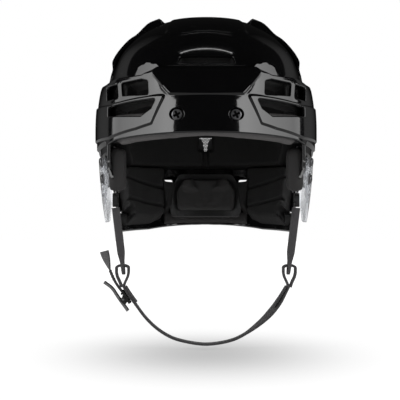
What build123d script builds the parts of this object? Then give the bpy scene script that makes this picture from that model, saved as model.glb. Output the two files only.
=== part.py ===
from build123d import *
import os
from math import hypot, sqrt, tan, radians

# An ice hockey helmet that hangs as if worn. +X is the wearer's left, -Y is forward and +Z is up.
# The origin is the middle of the head space at the height of the brow rim. Lengths are in millimetres.
# Outlines are shares of the three outline sizes, unless a name says more.

# Shell
shell_half_width = 107.5
shell_half_length = 138.0
crown_height = 118.6
outline_width = 106.5
outline_length = 139.0
outline_height = 124.0
lower_depth = 240.0
wall = 3.0
width_power = 2.45
length_power = 2.3
level_shares = (0.18, 0.36, 0.52, 0.66, 0.78, 0.87, 0.93, 0.97, 0.992)
low_level_shares = (0.72, 0.54, 0.36, 0.18)
reach = 400.0
clearance = 0.3
step_lap = 5.0
band_rise = 1.2
side_panel_rise = 2.2
forehead_rise = 2.2
ridge_rise = 6.0
centre_rise = 2.2
tab_drop = 2.4
tab_wall = 3.2

# Size adjustment and its latches
adjust_travel = 14.0
shell_gap = 0.4
latch_screw_y = 36.0
latch_z = 12.0
latch_base_wall = 2.2
latch_lever_wall = 1.6
latch_half_height = 8.0
latch_pin_y = 58.0
latch_pin_radius = 1.5
latch_barrel_radius = 2.8
latch_barrel_half = 4.0
latch_swing_room = 3.2
latch_screw_radius = 1.5
latch_head_radius = 2.75
latch_head_height = 0.75
latch_head_sink = 1.4
latch_nut_radius = 4.0
latch_nut_height = 3.0

# Foam and pads
liner_thickness = 14.6
rear_liner_thickness = 17.0
liner_gap = 0.4
brow_pad_thickness = 12.4
crown_pad_thickness = 6.0
temple_pad_height = 43.0
temple_pad_length = 30.0
temple_pad_y = -48.5
temple_pad_z = -33.5
temple_sections = ((0.0, 1.0), (0.35, 0.0), (0.75, 0.35), (1.0, 1.6))
cushion_round = 9.0
cushion_draw = 3.0
groove_width = 5.0
groove_depth = 4.0

# Fasteners
front_screw_x = 27.0
front_screw_z = 14.0
screw_head_radius = 5.0
screw_head_height = 2.0
screw_shank_radius = 2.0
recess_width = 1.3
recess_span_share = 1.3
recess_depth = 1.2
head_chamfer_share = 0.25
hole_room = 0.25
front_boss_radius = 7.6
front_boss_depth = 6.2
nut_barrel_radius = 3.6
nut_flange_radius = 6.0
nut_flange_height = 1.2
nut_room = 0.6
guard_screw_y = -45.0
guard_screw_heights = (-27.0, -43.5)
guard_head_radius = 4.0
guard_washer_radius = 5.6
guard_washer_height = 0.9
guard_nut_radius = 4.0
guard_nut_height = 2.2
snap_z = -17.0
snap_front_y = -22.0
snap_rear_y = 45.0
snap_cap_radius = 5.0
snap_cap_height = 1.2
snap_back_radius = 4.0
snap_slack = 1.0

# Ear guards
guard_wall = 2.0
guard_gap = 0.3
guard_corner = 9.0
guard_hole_radius = 3.5
guard_hole_pitch = 11.0
guard_hole_columns = (-1, 0, 1)
guard_hole_rows = (-0.5, 0.5)

# Straps
web_width = 15.0
web_thickness = 1.8
ear_web_width = 12.0
loop_web_width = 7.0
strap_y = 12.0
slide_x = 91.0
slide_z = -64.0
slide_length = 24.0
slide_height = 14.0
slide_thickness = 5.0
slide_window_length = 16.0
slide_window_height = 6.0
slide_round = 4.6
slide_window_round = 2.0
loop_x = 84.0
pivot_z = -129.2
loop_inner_radius = 8.3
chin_loop_half = 7.0
chin_loop_shoulder = 11.0
chin_loop_drop = 19.3
chin_loop_lift = 0.45
chin_route = (
    (-84.0, -149.0),
    (-79.0, -158.0),
    (-71.5, -168.0),
    (-62.0, -181.5),
    (-51.0, -192.5),
    (-40.0, -200.0),
    (-29.0, -205.0),
    (-6.0, -209.5),
    (9.0, -209.0),
    (26.5, -205.5),
    (38.0, -200.0),
    (48.0, -193.0),
    (59.0, -184.0),
    (69.0, -173.0),
    (77.0, -161.0),
    (84.0, -149.0),
)
tail_route = (
    (-81.1, -160.0),
    (-87.4, -152.5),
    (-93.0, -142.0),
    (-97.4, -129.5),
    (-100.6, -115.5),
)
arc_share = 0.45
buckle_at = (-75.25, -163.0)
buckle_length = 11.0
buckle_width = 20.0
buckle_side = 1.8
buckle_ear_up = 4.0
buckle_pin_out = 6.6
buckle_pin_radius = 1.2
buckle_barrel_radius = 2.5
buckle_ear_radius = 2.6
lever_route = ((-101.0, -147.0), (-93.2, -153.6), (-77.4, -175.2))
lever_thickness = 1.7
lever_width = 15.0

# Back of the head
cradle_out = 13.0
cradle_wall = 3.0
pad_on_cradle = 8.0
rail_width = 8.0
rail_height = 34.0
rail_x = 20.0
rail_z = -60.0
mesh_thickness = 1.0
mesh_width = 16.4
mesh_height = 17.0
mesh_z = -4.0
mesh_holes = (5, 5)
mesh_hole_radius = 1.1
mesh_pitch = 3.0
eyelet_y = 62.0
eyelet_z = -84.0
eyelet_radius = 6.5
eyelet_bore = 4.0
eyelet_length = 8.0
eyelet_rim = 1.2

# Smaller sizes
vent_depth_share = 0.14
overrun = 60.0
hole_reach = 14.0
tab_corner = 5.0
thread_gap = 0.06
pin_fit = 0.05
strap_lift = 1.5
fold_start = 3.0
buckle_out = -1
buckle_room = 0.5
lever_bend = 9.0
latch_low_y = 32.0
latch_high_y = 61.5
latch_round = 4.0
latch_tab_round = 1.0
latch_pin_lift = 0.4
nut_pocket_half = 6.5
temple_base_x = 97.0
temple_crown_x = 78.5
groove_spread = 16.0
guard_hole_shares = (0.09, -0.42)

# Shares of the outlines
front_region_shares = (
    (-1.1, 0.0), (-0.597, -0.06), (-0.475, -0.1), (0.108, -0.081), (0.403, -0.081), (0.403, 1.2), (-1.1, 1.2),
)
front_tab_shares = ((-0.475, -0.03), (-0.446, -0.387), (-0.129, -0.435), (-0.086, -0.161), (-0.086, -0.016))
rear_tab_shares = ((0.245, -0.016), (0.245, -0.242), (0.403, -0.242), (0.403, -0.016))
band_back_share = 0.13
ledge_shares = (
    (-1.22, 0.371), (-0.911, 0.403), (-0.817, 0.46), (-0.638, 0.452), (-0.465, 0.468), (-0.404, 0.492),
    (0.404, 0.492), (0.465, 0.468), (0.638, 0.452), (0.817, 0.46), (0.911, 0.403), (1.22, 0.371),
)
ledge_foot_share = -1.0
side_panel_shares = (
    (-0.357, 0.25), (-0.47, 0.048), (-0.6, 0.016), (-0.855, -0.04), (-1.22, -0.073), (-1.22, 0.2),
    (-0.855, 0.2), (-0.42, 0.25),
)
forehead_shares = (
    (-0.33, 0.484), (0.33, 0.484), (0.47, 0.42), (0.357, 0.262), (-0.357, 0.262), (-0.47, 0.42),
)
forehead_slot_shares = ((-0.263, 0.508), (0.263, 0.508), (0.235, 0.56), (-0.235, 0.56))
inner_vent_shares = ((-0.5, 0.262), (-0.5, 0.355), (-0.555, 0.372), (-0.735, 0.355), (-0.735, 0.262))
outer_vent_shares = ((-0.775, 0.25), (-0.775, 0.35), (-0.885, 0.34), (-0.885, 0.24))
lower_vent_shares = ((-0.43, 0.225), (-0.86, 0.185), (-0.86, 0.12), (-0.56, 0.105), (-0.47, 0.16))
rear_region_shares = (
    (0.058, 1.2), (0.058, 0.5), (0.158, 0.371), (0.158, -0.05), (0.36, -0.065), (0.41, -0.242),
    (0.39, -0.79), (0.72, -0.774), (1.1, -0.7), (1.1, 1.2),
)
ridge_shares = ((-0.63, 0.07), (-0.4, 0.07), (-0.33, 0.5), (-0.48, 0.56))
centre_shares = ((-0.33, 0.1), (0.33, 0.1), (0.24, 0.8), (-0.24, 0.8))
rear_top_vent_shares = ((-0.2, 0.2), (-0.1, 0.2), (-0.1, 0.42), (-0.18, 0.44))
rear_back_vent_shares = (
    ((-0.36, 0.3), (-0.2, 0.3), (-0.2, 0.5), (-0.3, 0.52)),
    ((-0.43, -0.405), (-0.34, -0.405), (-0.34, -0.345), (-0.43, -0.345)),
)
middle_vent_shares = ((-0.077, -0.1), (0.077, -0.1), (0.077, 0.036), (-0.077, 0.036))
front_liner_shares = (
    (-1.1, 0.165), (-0.46, 0.165), (-0.46, 0.02), (-0.115, 0.02), (-0.06, -0.05), (0.36, -0.05),
    (0.36, 1.2), (-1.1, 1.2),
)
brow_pad_shares = ((-1.1, -0.056), (-0.6, -0.115), (-0.485, -0.05), (-0.485, 0.162), (-1.1, 0.162))
crown_pad_shares = ((-0.28, -0.34), (0.28, -0.34), (0.34, 0.05), (0.28, 0.34), (-0.28, 0.34), (-0.34, 0.05))
rear_liner_shares = ((0.415, 1.2), (0.415, -0.04), (0.5, -0.25), (1.1, -0.25), (1.1, 1.2))
side_liner_shares = ((0.425, -0.265), (0.43, -0.745), (0.72, -0.73), (1.1, -0.67), (1.1, -0.265))
side_liner_inner_share = 0.46
facet_shares = (((0.42, -0.36), (0.9, -0.5)), ((0.42, -0.56), (0.9, -0.66)))
facet_half = 1.6
guard_shares = (
    (-0.385, -0.19), (0.3, -0.2), (0.335, -0.3), (0.32, -0.54), (0.16, -0.7), (-0.05, -0.7), (-0.25, -0.56),
    (-0.39, -0.41),
)
cradle_shares = ((-0.4, -0.67), (0.4, -0.67), (0.42, -0.45), (0.3, -0.3), (-0.3, -0.3), (-0.42, -0.45))
back_pad_shares = (
    (-0.34, -0.63), (0.34, -0.63), (0.36, -0.45), (0.26, -0.34), (-0.26, -0.34), (-0.36, -0.45),
)
back_pad_round = 6.0


def half_width(z, grow=0.0):
    """Half the width of the grown shell at height z."""
    if z >= 0:
        share = z / (crown_height + grow)
        return (shell_half_width + grow) * (1 - share**width_power) ** (1 / width_power)
    return (shell_half_width + grow) * sqrt(1 - (z / (lower_depth + grow)) ** 2)


def half_length(z, grow=0.0):
    """Half the length of the grown shell at height z."""
    if z >= 0:
        share = z / (crown_height + grow)
        return (shell_half_length + grow) * (1 - share**length_power) ** (1 / length_power)
    return (shell_half_length + grow) * sqrt(1 - (z / (lower_depth + grow)) ** 2)


def side_x(y, z, grow=0.0):
    """X of the grown shell's side at Y and Z."""
    return half_width(z, grow) * sqrt(1 - (y / half_length(z, grow)) ** 2)


def end_y(x, z, grow=0.0):
    """How far forward or back the grown shell reaches at X and Z."""
    return half_length(z, grow) * sqrt(1 - (x / half_width(z, grow)) ** 2)


def side_plane(y, z, grow=0.0):
    """A plane that lies on the grown shell's side, with its normal outwards."""
    slope_y = (side_x(y + clearance, z, grow) - side_x(y - clearance, z, grow)) / (2 * clearance)
    slope_z = (side_x(y, z + clearance, grow) - side_x(y, z - clearance, grow)) / (2 * clearance)
    return Plane(origin=(side_x(y, z, grow), y, z), x_dir=(slope_y, 1, 0), z_dir=(1, -slope_y, -slope_z))


def egg(grow):
    """The closed body inside the shell's outer surface, grown or shrunk all round."""
    sections = []
    for share in low_level_shares:
        z = -share * lower_depth
        sections.append(Plane.XY.offset(z) * Ellipse(half_width(z, grow), half_length(z, grow)))
    sections.append(Ellipse(half_width(0, grow), half_length(0, grow)))
    for share in level_shares:
        z = share * (crown_height + grow)
        sections.append(Plane.XY.offset(z) * Ellipse(half_width(z, grow), half_length(z, grow)))
    faces = [section.face() for section in sections]
    return loft(faces + [Vertex(0, 0, crown_height + grow)])


eggs = {}


def kept_egg(grow):
    """The grown body, made once."""
    key = round(grow / clearance, 6)
    if key not in eggs:
        eggs[key] = egg(grow)
    return eggs[key]


rings = {}


def ring(outer, thickness):
    """The wall of that thickness inside the grown shell surface."""
    key = (round(outer / clearance, 6), round(thickness / clearance, 6))
    if key not in rings:
        rings[key] = kept_egg(outer) - kept_egg(outer - thickness)
    return rings[key]


def on_side(shares):
    """Side view shares as Y and Z."""
    return [(y * outline_length, z * outline_height) for y, z in shares]


def on_front(shares):
    """Front view shares as X and Z."""
    return [(x * outline_width, z * outline_height) for x, z in shares]


def on_top(shares):
    """Top view shares as X and Y."""
    return [(x * outline_width, y * outline_length) for x, y in shares]


def rounded(face, radius):
    """The face with all its corners rounded."""
    return fillet(face.vertices(), radius) if radius else face


def side_prism(points, radius=0):
    """A prism right through the helmet whose outline is Y and Z."""
    face = make_face(Polyline(*[(0, y, z) for y, z in points], close=True))
    return extrude(rounded(face, radius), reach / 2, both=True, dir=(1, 0, 0))


def end_prism(points, low_y, high_y, radius=0):
    """A prism along Y whose outline is X and Z."""
    face = make_face(Polyline(*[(x, low_y, z) for x, z in points], close=True))
    return extrude(rounded(face, radius), high_y - low_y, dir=(0, 1, 0))


def top_prism(points, low_z, high_z, radius=0):
    """A prism along Z whose outline is X and Y."""
    face = make_face(Polyline(*[(x, y, low_z) for x, y in points], close=True))
    return extrude(rounded(face, radius), high_z - low_z, dir=(0, 0, 1))


def mirrored(shape):
    """The same shape on the wearer's other side."""
    return mirror(shape, about=Plane.YZ)


def both_sides(shape):
    """The shape and its mirror image."""
    return [shape, mirrored(shape)]


def ribbon(route, y_middle, width, thickness):
    """Webbing that follows a route of X and Z, with its width along Y."""
    points = [Vector(x, y_middle, z) for x, z in route]
    radii = route_radii(points)
    path = FilletPolyline(*points, radius=radii)
    start = Plane(origin=path @ 0, x_dir=(0, 1, 0), z_dir=path % 0)
    return sweep(start * Rectangle(width, thickness), path), path, radii


def route_radii(points):
    """The largest arc that each corner's two runs allow."""
    radii = []
    for before, corner, after in zip(points, points[1:], points[2:]):
        first = corner - before
        second = after - corner
        half_turn = radians(first.get_angle(second)) / 2
        radii.append(arc_share * min(first.length, second.length) / tan(half_turn))
    return radii


def strip(start, end, across, width, thickness):
    """A straight flat strip of webbing from one point to another."""
    start, end = Vector(*start), Vector(*end)
    plane = Plane(origin=start, x_dir=across, z_dir=end - start)
    return extrude(plane * Rectangle(width, thickness), (end - start).length)


def front_vents():
    """Everything that the vents cut out of the front shell and the foam behind it."""
    front_y = -shell_half_length - overrun
    cuts = []
    for shares in (inner_vent_shares, outer_vent_shares, lower_vent_shares):
        cuts += both_sides(end_prism(on_front(shares), front_y, -vent_depth_share * outline_length))
    cuts.append(end_prism(on_front(forehead_slot_shares), front_y, 0))
    return cuts


def screw(head_radius, head_height, shank_radius, shank_length):
    """A screw with a crossed recess, its head's underside at zero and its head towards +Z."""
    head = Cylinder(head_radius, head_height, align=(Align.CENTER, Align.CENTER, Align.MIN))
    head = chamfer(head.edges().group_by(Axis.Z)[-1], head_height * head_chamfer_share)
    low = (Align.CENTER, Align.CENTER, Align.MIN)
    bar = Box(head_radius * recess_span_share, recess_width, head_height, align=low)
    cross = (bar + Rot(0, 0, 90) * bar).moved(Pos(0, 0, head_height - recess_depth))
    shank = Cylinder(shank_radius, shank_length, align=(Align.CENTER, Align.CENTER, Align.MAX))
    return head + shank - cross


def tube(radius, bore, length):
    """A round tube that goes down from zero."""
    low = (Align.CENTER, Align.CENTER, Align.MAX)
    return Cylinder(radius, length, align=low) - Cylinder(bore, length, align=low)


def hexagon_nut(radius, bore, length):
    """A six-sided nut that goes down from zero."""
    return extrude(RegularPolygon(radius, 6) - Circle(bore), -length)


def hole(radius):
    """A round cut right through a wall at zero."""
    return Cylinder(radius, 2 * hole_reach)


def front_screw_planes():
    """Planes on the shell's front, one for each accessory screw, with normals forwards."""
    y = -end_y(front_screw_x, front_screw_z)
    places = [(x, y, front_screw_z) for x in (-front_screw_x, front_screw_x)]
    return [Plane(origin=place, x_dir=(1, 0, 0), z_dir=(0, -1, 0)) for place in places]


def make_front_shell():
    """The front half of the hard shell, with its band, raised panels, tabs, bosses and vents."""
    region = side_prism(on_side(front_region_shares))
    ledge = on_front(ledge_shares)
    foot = ledge_foot_share * outline_height
    wide = shell_half_width + overrun
    band_back = band_back_share * outline_length
    below = end_prism(ledge + [(wide, foot), (-wide, foot)], -reach, band_back)
    lapped = [(x, z - step_lap) for x, z in ledge] + [(wide, foot), (-wide, foot)]
    dome = (ring(-wall, wall) & region) - end_prism(lapped, -reach, band_back - step_lap)
    panel = end_prism(on_front(side_panel_shares), -reach, band_back - step_lap)
    raised = ring(side_panel_rise, side_panel_rise + wall / 2) & region
    added = [(ring(band_rise, wall + shell_gap + band_rise) & region) & below]
    added.append(ring(-wall, wall) & side_prism(on_side(rear_tab_shares)))
    added.append(ring(-tab_drop, tab_wall) & side_prism(on_side(front_tab_shares), tab_corner))
    added += [raised & side for side in both_sides(panel)]
    forehead = end_prism(on_front(forehead_shares), -reach, 0)
    added.append(ring(forehead_rise, forehead_rise + wall / 2) & forehead)
    for plane in front_screw_planes():
        boss = Cylinder(front_boss_radius, front_boss_depth, align=(Align.CENTER, Align.CENTER, Align.MAX))
        added.append((plane * boss) & kept_egg(0))
    cuts = front_vents()
    for plane in front_screw_planes():
        cuts.append(plane * hole(nut_barrel_radius + hole_room))
        pocket = Cylinder(screw_head_radius + hole_room, 2 * (screw_head_height + clearance))
        cuts.append(plane * pocket)
    places = [(guard_screw_y, z) for z in guard_screw_heights]
    for y, z in places + [(snap_front_y, snap_z), (snap_rear_y, snap_z)]:
        cuts += both_sides(side_plane(y, z, -tab_drop) * hole(screw_shank_radius + hole_room))
    slot = SlotCenterToCenter(adjust_travel, 2 * (latch_screw_radius + hole_room))
    middle = Plane(origin=(0, latch_screw_y + adjust_travel / 2, latch_z), x_dir=(0, 1, 0), z_dir=(1, 0, 0))
    cuts.append(extrude(middle * slot, reach / 2, both=True))
    return (dome + added) - cuts


def make_front_liner():
    """The foam behind the front shell, with its vents and the pockets for the latch nuts."""
    liner = ring(-2 * wall - liner_gap, liner_thickness) & side_prism(on_side(front_liner_shares))
    half = nut_pocket_half
    pocket = Box(reach, adjust_travel + 2 * half, 2 * half)
    return liner - (front_vents() + [pocket.moved(Pos(0, latch_screw_y + adjust_travel / 2, latch_z))])


def make_brow_pad():
    """The grey band: a crown between two drawn-in edges, with pockets behind the front nuts."""
    pad = ring(-wall - 2 * liner_gap, brow_pad_thickness) & side_prism(on_side(brow_pad_shares))
    for plane in front_screw_planes():
        depth = front_boss_depth + nut_flange_height + nut_room + clearance
        pad -= plane * Cylinder(front_boss_radius + nut_room, 2 * depth)
    return largest(pad)


def largest(shape):
    """The largest solid of a shape that a cut left in pieces."""
    return max(shape.solids(), key=lambda solid: solid.volume)


def make_crown_pad():
    """The pad under the crown, with two channels."""
    outer = -2 * wall - liner_gap - liner_thickness - clearance
    field = top_prism(on_top(crown_pad_shares), crown_height / 2, crown_height, cushion_round)
    pad = ring(outer, crown_pad_thickness) & field
    for x in (-groove_spread, groove_spread):
        channel = Box(groove_width, reach, reach)
        floor = kept_egg(outer - crown_pad_thickness / 2)
        pad -= channel.moved(Pos(x, 0, 0)) & floor
    return pad


def make_temple_pad():
    """A cushion that stands on the shell's front tab: crowned towards the head, with drawn-in sides."""
    faces = []
    for depth_share, draw_share in temple_sections:
        shrink = draw_share * cushion_draw
        size = (temple_pad_length - 2 * shrink, temple_pad_height - 2 * shrink)
        x = temple_base_x - depth_share * (temple_base_x - temple_crown_x)
        plane = Plane(origin=(x, temple_pad_y, temple_pad_z), x_dir=(0, 1, 0), z_dir=(1, 0, 0))
        faces.append((plane * RectangleRounded(*size, cushion_round)).face())
    pad = loft(faces) & kept_egg(-tab_drop - tab_wall - clearance)
    for z in guard_screw_heights:
        plane = side_plane(guard_screw_y, z, -tab_drop)
        pocket = Cylinder(guard_nut_radius + clearance, 2 * (guard_nut_height + nut_room))
        pad -= plane * pocket.moved(Pos(0, 0, -tab_wall - clearance))
    return pad


def make_rear_shell():
    """The rear half of the hard shell, with its two ridges, centre panel and vents."""
    region = side_prism(on_side(rear_region_shares))
    high = crown_height + overrun
    centre = top_prism(on_top(centre_shares), crown_height / 2, high)
    added = [ring(centre_rise + shell_gap, centre_rise + wall / 2) & centre]
    ridge = ring(ridge_rise + shell_gap, ridge_rise + wall / 2)
    added += [ridge & side for side in both_sides(top_prism(on_top(ridge_shares), crown_height / 2, high))]
    cuts = rear_top_vents() + rear_back_vents(rear_back_vent_shares)
    cuts.append(end_prism(on_front(middle_vent_shares), 0, reach))
    cuts += both_sides(latch_screw_plane() * hole(latch_screw_radius + hole_room))
    cuts += both_sides(eyelet_place() * hole(eyelet_radius + clearance))
    return ((ring(shell_gap, wall) & region) + added) - cuts


def rear_top_vents():
    """What the two vents at the back of the crown cut out."""
    return both_sides(top_prism(on_top(rear_top_vent_shares), crown_height / 2, crown_height + overrun))


def rear_back_vents(outlines):
    """What the vents seen from behind cut out."""
    cuts = []
    for shares in outlines:
        cuts += both_sides(end_prism(on_front(shares), 0, reach))
    return cuts


def make_rear_liner():
    """The smooth foam inside the back, with a groove down its middle."""
    outer = shell_gap - wall - clearance
    liner = ring(outer, rear_liner_thickness) & side_prism(on_side(rear_liner_shares))
    cuts = rear_top_vents() + rear_back_vents(rear_back_vent_shares[:1])
    cuts.append(end_prism(on_front(middle_vent_shares), 0, reach))
    channel = Box(groove_width, reach, 2 * crown_height).moved(Pos(0, reach / 2, 0))
    cuts.append(channel & kept_egg(outer - rear_liner_thickness + groove_depth))
    return liner - cuts


def make_side_liner():
    """The foam of one rear corner, its inner face cut into facets by two slanted grooves."""
    outer = shell_gap - wall - clearance
    inner_x = side_liner_inner_share * outline_width
    outside = Box(reach, 2 * reach, reach).moved(Pos(reach / 2 + inner_x, 0, 0))
    block = side_prism(on_side(side_liner_shares)) & outside
    liner = ring(outer, liner_thickness) & block
    floor = kept_egg(outer - liner_thickness + groove_depth)
    cuts = [eyelet_place() * hole(eyelet_radius + clearance)]
    for start, end in facet_shares:
        (y0, z0), (y1, z1) = on_side((start, end))
        run = hypot(y1 - y0, z1 - z0)
        across = ((z1 - z0) / run * facet_half, (y1 - y0) / run * facet_half)
        line = [(y0 + across[0], z0 - across[1]), (y1 + across[0], z1 - across[1])]
        line += [(y1 - across[0], z1 + across[1]), (y0 - across[0], z0 + across[1])]
        cuts.append(side_prism(line) & floor)
    return largest(liner - cuts)


def eyelet_place():
    """The plane on the rear shell's lower corner, with its normal outwards along X."""
    x = side_x(eyelet_y, eyelet_z, shell_gap)
    return Plane(origin=(x, eyelet_y, eyelet_z), x_dir=(0, 1, 0), z_dir=(1, 0, 0))


def make_eyelet():
    """The rimmed hole in a rear corner."""
    body = tube(eyelet_radius, eyelet_bore, eyelet_length)
    return eyelet_place() * body.moved(Pos(0, 0, eyelet_rim))


def make_vent_mesh():
    """The flat perforated patch in the rear liner's middle vent."""
    y = end_y(0, mesh_z, shell_gap - wall) - liner_thickness / 2
    plate = Box(mesh_width - 2 * clearance, mesh_thickness, mesh_height - 2 * clearance)
    cutter = Rot(90, 0, 0) * Cylinder(mesh_hole_radius, 2 * mesh_thickness)
    across, up = mesh_holes
    holes = []
    for i in range(across):
        for j in range(up):
            place = Pos((i - (across - 1) / 2) * mesh_pitch, 0, (j - (up - 1) / 2) * mesh_pitch)
            holes.append(place * cutter)
    return (plate - holes).moved(Pos(0, y, mesh_z))


def make_rails():
    """The two rails on the rear shell that the cradle slides on."""
    block = ring(shell_gap - wall - clearance, cradle_out - wall)
    rails = []
    for x in (-rail_x, rail_x):
        bar = Box(rail_width, reach, rail_height).moved(Pos(x, reach / 2, rail_z))
        rails.append(block & bar)
    return rails


def make_cradle():
    """The plastic frame that carries the pad at the back of the head."""
    field = end_prism(on_front(cradle_shares), 0, reach, back_pad_round)
    return ring(-cradle_out - shell_gap, cradle_wall) & field


def make_back_pad():
    """The pad on the cradle, with a groove down its middle."""
    outer = -cradle_out - shell_gap - cradle_wall - clearance
    pad = ring(outer, pad_on_cradle) & end_prism(on_front(back_pad_shares), 0, reach, back_pad_round)
    floor = kept_egg(outer - pad_on_cradle + groove_depth)
    pad -= Box(groove_width, reach, reach) & floor
    return pad


def make_guard():
    """One clear ear guard, with the small sound holes over the ear."""
    field = side_prism(on_side(guard_shares), guard_corner)
    guard = ring(-tab_drop + guard_gap + guard_wall, guard_wall) & field
    guard &= Box(reach, 2 * reach, 2 * reach).moved(Pos(reach / 2, 0, 0))
    for z in guard_screw_heights:
        guard -= side_plane(guard_screw_y, z, -tab_drop) * hole(screw_shank_radius + hole_room)
    middle_y, middle_z = guard_hole_shares[0] * outline_length, guard_hole_shares[1] * outline_height
    for i in guard_hole_columns:
        for j in guard_hole_rows:
            y = middle_y + i * guard_hole_pitch
            z = middle_z + j * guard_hole_pitch
            guard -= side_plane(y, z) * hole(guard_hole_radius)
    return guard


def guard_fasteners():
    """Screws with their washers, and nuts, for both ear guards."""
    screws, nuts = [], []
    outside = guard_gap + guard_wall + clearance / 2
    shank = outside + guard_washer_height + tab_wall + clearance + guard_nut_height
    for z in guard_screw_heights:
        plane = side_plane(guard_screw_y, z, -tab_drop)
        low = (Align.CENTER, Align.CENTER, Align.MIN)
        washer = Cylinder(guard_washer_radius, guard_washer_height, align=low)
        head = screw(guard_head_radius, screw_head_height, screw_shank_radius, shank)
        whole = washer.moved(Pos(0, 0, outside)) + head.moved(Pos(0, 0, outside + guard_washer_height))
        screws += both_sides(plane * whole)
        nut = hexagon_nut(guard_nut_radius, screw_shank_radius + thread_gap, guard_nut_height)
        nuts += both_sides(plane * nut.moved(Pos(0, 0, -tab_wall - clearance)))
    return screws, nuts


def make_front_screws():
    """The two accessory screws over the brow."""
    head_down = -screw_head_height - clearance / 2
    length = front_boss_depth + nut_flange_height - screw_head_height
    body = screw(screw_head_radius, screw_head_height, screw_shank_radius, length)
    return [plane * body.moved(Pos(0, 0, head_down)) for plane in front_screw_planes()]


def make_front_nuts():
    """Barrels through the shell's bosses, with flanges behind them."""
    top = -screw_head_height - 2 * clearance
    bottom = -front_boss_depth - clearance
    barrel = tube(nut_barrel_radius, screw_shank_radius + thread_gap, top - bottom + nut_flange_height)
    flange = tube(nut_flange_radius, screw_shank_radius + thread_gap, nut_flange_height)
    body = barrel.moved(Pos(0, 0, top)) + flange.moved(Pos(0, 0, bottom))
    return [plane * body for plane in front_screw_planes()]


def make_snaps():
    """Rivets with domed caps that hold the tops of the ear straps to the shell."""
    snaps = []
    for y, drop in ((snap_front_y, tab_drop), (snap_rear_y, wall)):
        inner = tab_wall + strap_lift + web_thickness + snap_slack
        cap = Cylinder(snap_cap_radius, snap_cap_height, align=(Align.CENTER, Align.CENTER, Align.MIN))
        cap = fillet(cap.edges().group_by(Axis.Z)[-1], snap_cap_height / 2)
        shank = Cylinder(screw_shank_radius, inner + clearance, align=(Align.CENTER, Align.CENTER, Align.MAX))
        back = Cylinder(snap_back_radius, snap_cap_height, align=(Align.CENTER, Align.CENTER, Align.MAX))
        body = (cap + shank).moved(Pos(0, 0, clearance)) + back.moved(Pos(0, 0, -inner))
        snaps += both_sides(side_plane(y, snap_z, -drop) * body)
    return snaps


def make_ear_strap(y, drop):
    """One leg of webbing from its snap on the shell down to the slide, the front leg outside the rear one."""
    top = side_plane(y, snap_z, -drop)
    anchor = top.origin - top.z_dir * (tab_wall + strap_lift + web_thickness / 2)
    layer = web_thickness / 2 + 2 * clearance
    layer = layer if y < strap_y else -layer
    lean = -slide_window_length / 4 if y < strap_y else slide_window_length / 4
    foot = Vector(slide_x + layer, strap_y + lean, slide_z + slide_height / 2 + clearance)
    along = foot - anchor
    foot += Vector(0, 0, ear_web_width / 2 * abs(along.Y) / along.length)
    along = foot - anchor
    start = anchor - along.normalized() * (ear_web_width / 2)
    leg = strip(start, foot, along.cross(top.z_dir), ear_web_width, web_thickness)
    return leg - top * hole(screw_shank_radius + hole_room)


def make_slide():
    """The plastic ring where the legs meet and the ear loop begins."""
    plane = Plane(origin=(slide_x, strap_y, slide_z), x_dir=(0, 1, 0), z_dir=(1, 0, 0))
    outline = RectangleRounded(slide_length, slide_height, slide_round)
    window = RectangleRounded(slide_window_length, slide_window_height, slide_window_round)
    return extrude(plane * (outline - window), slide_thickness / 2, both=True)


def make_ear_loop():
    """The hanging U of narrow webbing, seen edge-on from the side and tilted in towards the chin."""
    outer = loop_inner_radius + web_thickness
    top = slide_z - slide_height / 2 - clearance
    tilt = Plane(origin=(loop_x, strap_y, pivot_z), x_dir=(0, 1, 0), z_dir=(1, 0, 0))
    height = top - pivot_z
    band = Circle(outer) - Circle(loop_inner_radius)
    lower = band & Pos(0, -outer) * Rectangle(4 * outer, 2 * outer)
    legs = []
    for sign in (-1, 1):
        middle = sign * (outer + loop_inner_radius) / 2
        legs.append(Pos(middle, height / 2) * Rectangle(web_thickness, height))
    flat = lower + legs
    body = extrude(tilt * flat, loop_web_width / 2, both=True)
    lean = degrees_of(slide_x - loop_x, height)
    axis = Axis((loop_x, strap_y, pivot_z), (0, 1, 0))
    return body.rotate(axis, lean)


def degrees_of(rise, run):
    """The angle whose tangent is rise over run, in degrees."""
    return Vector(run, 0, 0).get_angle(Vector(run, rise, 0))


def make_chin_loop():
    """The sewn eye at one end of the chin strap, which hangs in the ear loop."""
    top = pivot_z + chin_loop_lift
    foot = pivot_z - chin_loop_drop
    shoulder = pivot_z - chin_loop_shoulder
    foot_half = web_thickness
    points = ((-chin_loop_half, top), (chin_loop_half, top), (chin_loop_half, shoulder), (foot_half, foot))
    points += ((-foot_half, foot), (-chin_loop_half, shoulder))
    low_y, high_y = strap_y - web_width / 2, strap_y + web_width / 2
    outer = make_face(Polyline(*[(x, low_y, z) for x, z in points], close=True))
    inner = offset(outer, -web_thickness)
    band = extrude(outer - inner, high_y - low_y, dir=(0, 1, 0))
    return band.moved(Pos(loop_x, 0, 0))


def buckle_plane():
    """A plane at the buckle's middle: x_dir along the strap towards the chin, normal along Y."""
    start, end = chin_route[1], chin_route[2]
    along = Vector(end[0] - start[0], 0, end[1] - start[1]).normalized()
    return Plane(origin=(buckle_at[0], strap_y, buckle_at[1]), x_dir=along, z_dir=(0, -1, 0))


def make_chin_strap():
    """The webbing under the chin, as one flat strip with its width along Y."""
    body, path, radii = ribbon(chin_route, strap_y, web_width, web_thickness)
    print("chin strap length", round(path.length, 1), "radii", [round(r, 1) for r in radii])
    print("chin strap volume share", round(body.volume / (path.length * web_width * web_thickness), 4))
    return body


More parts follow.
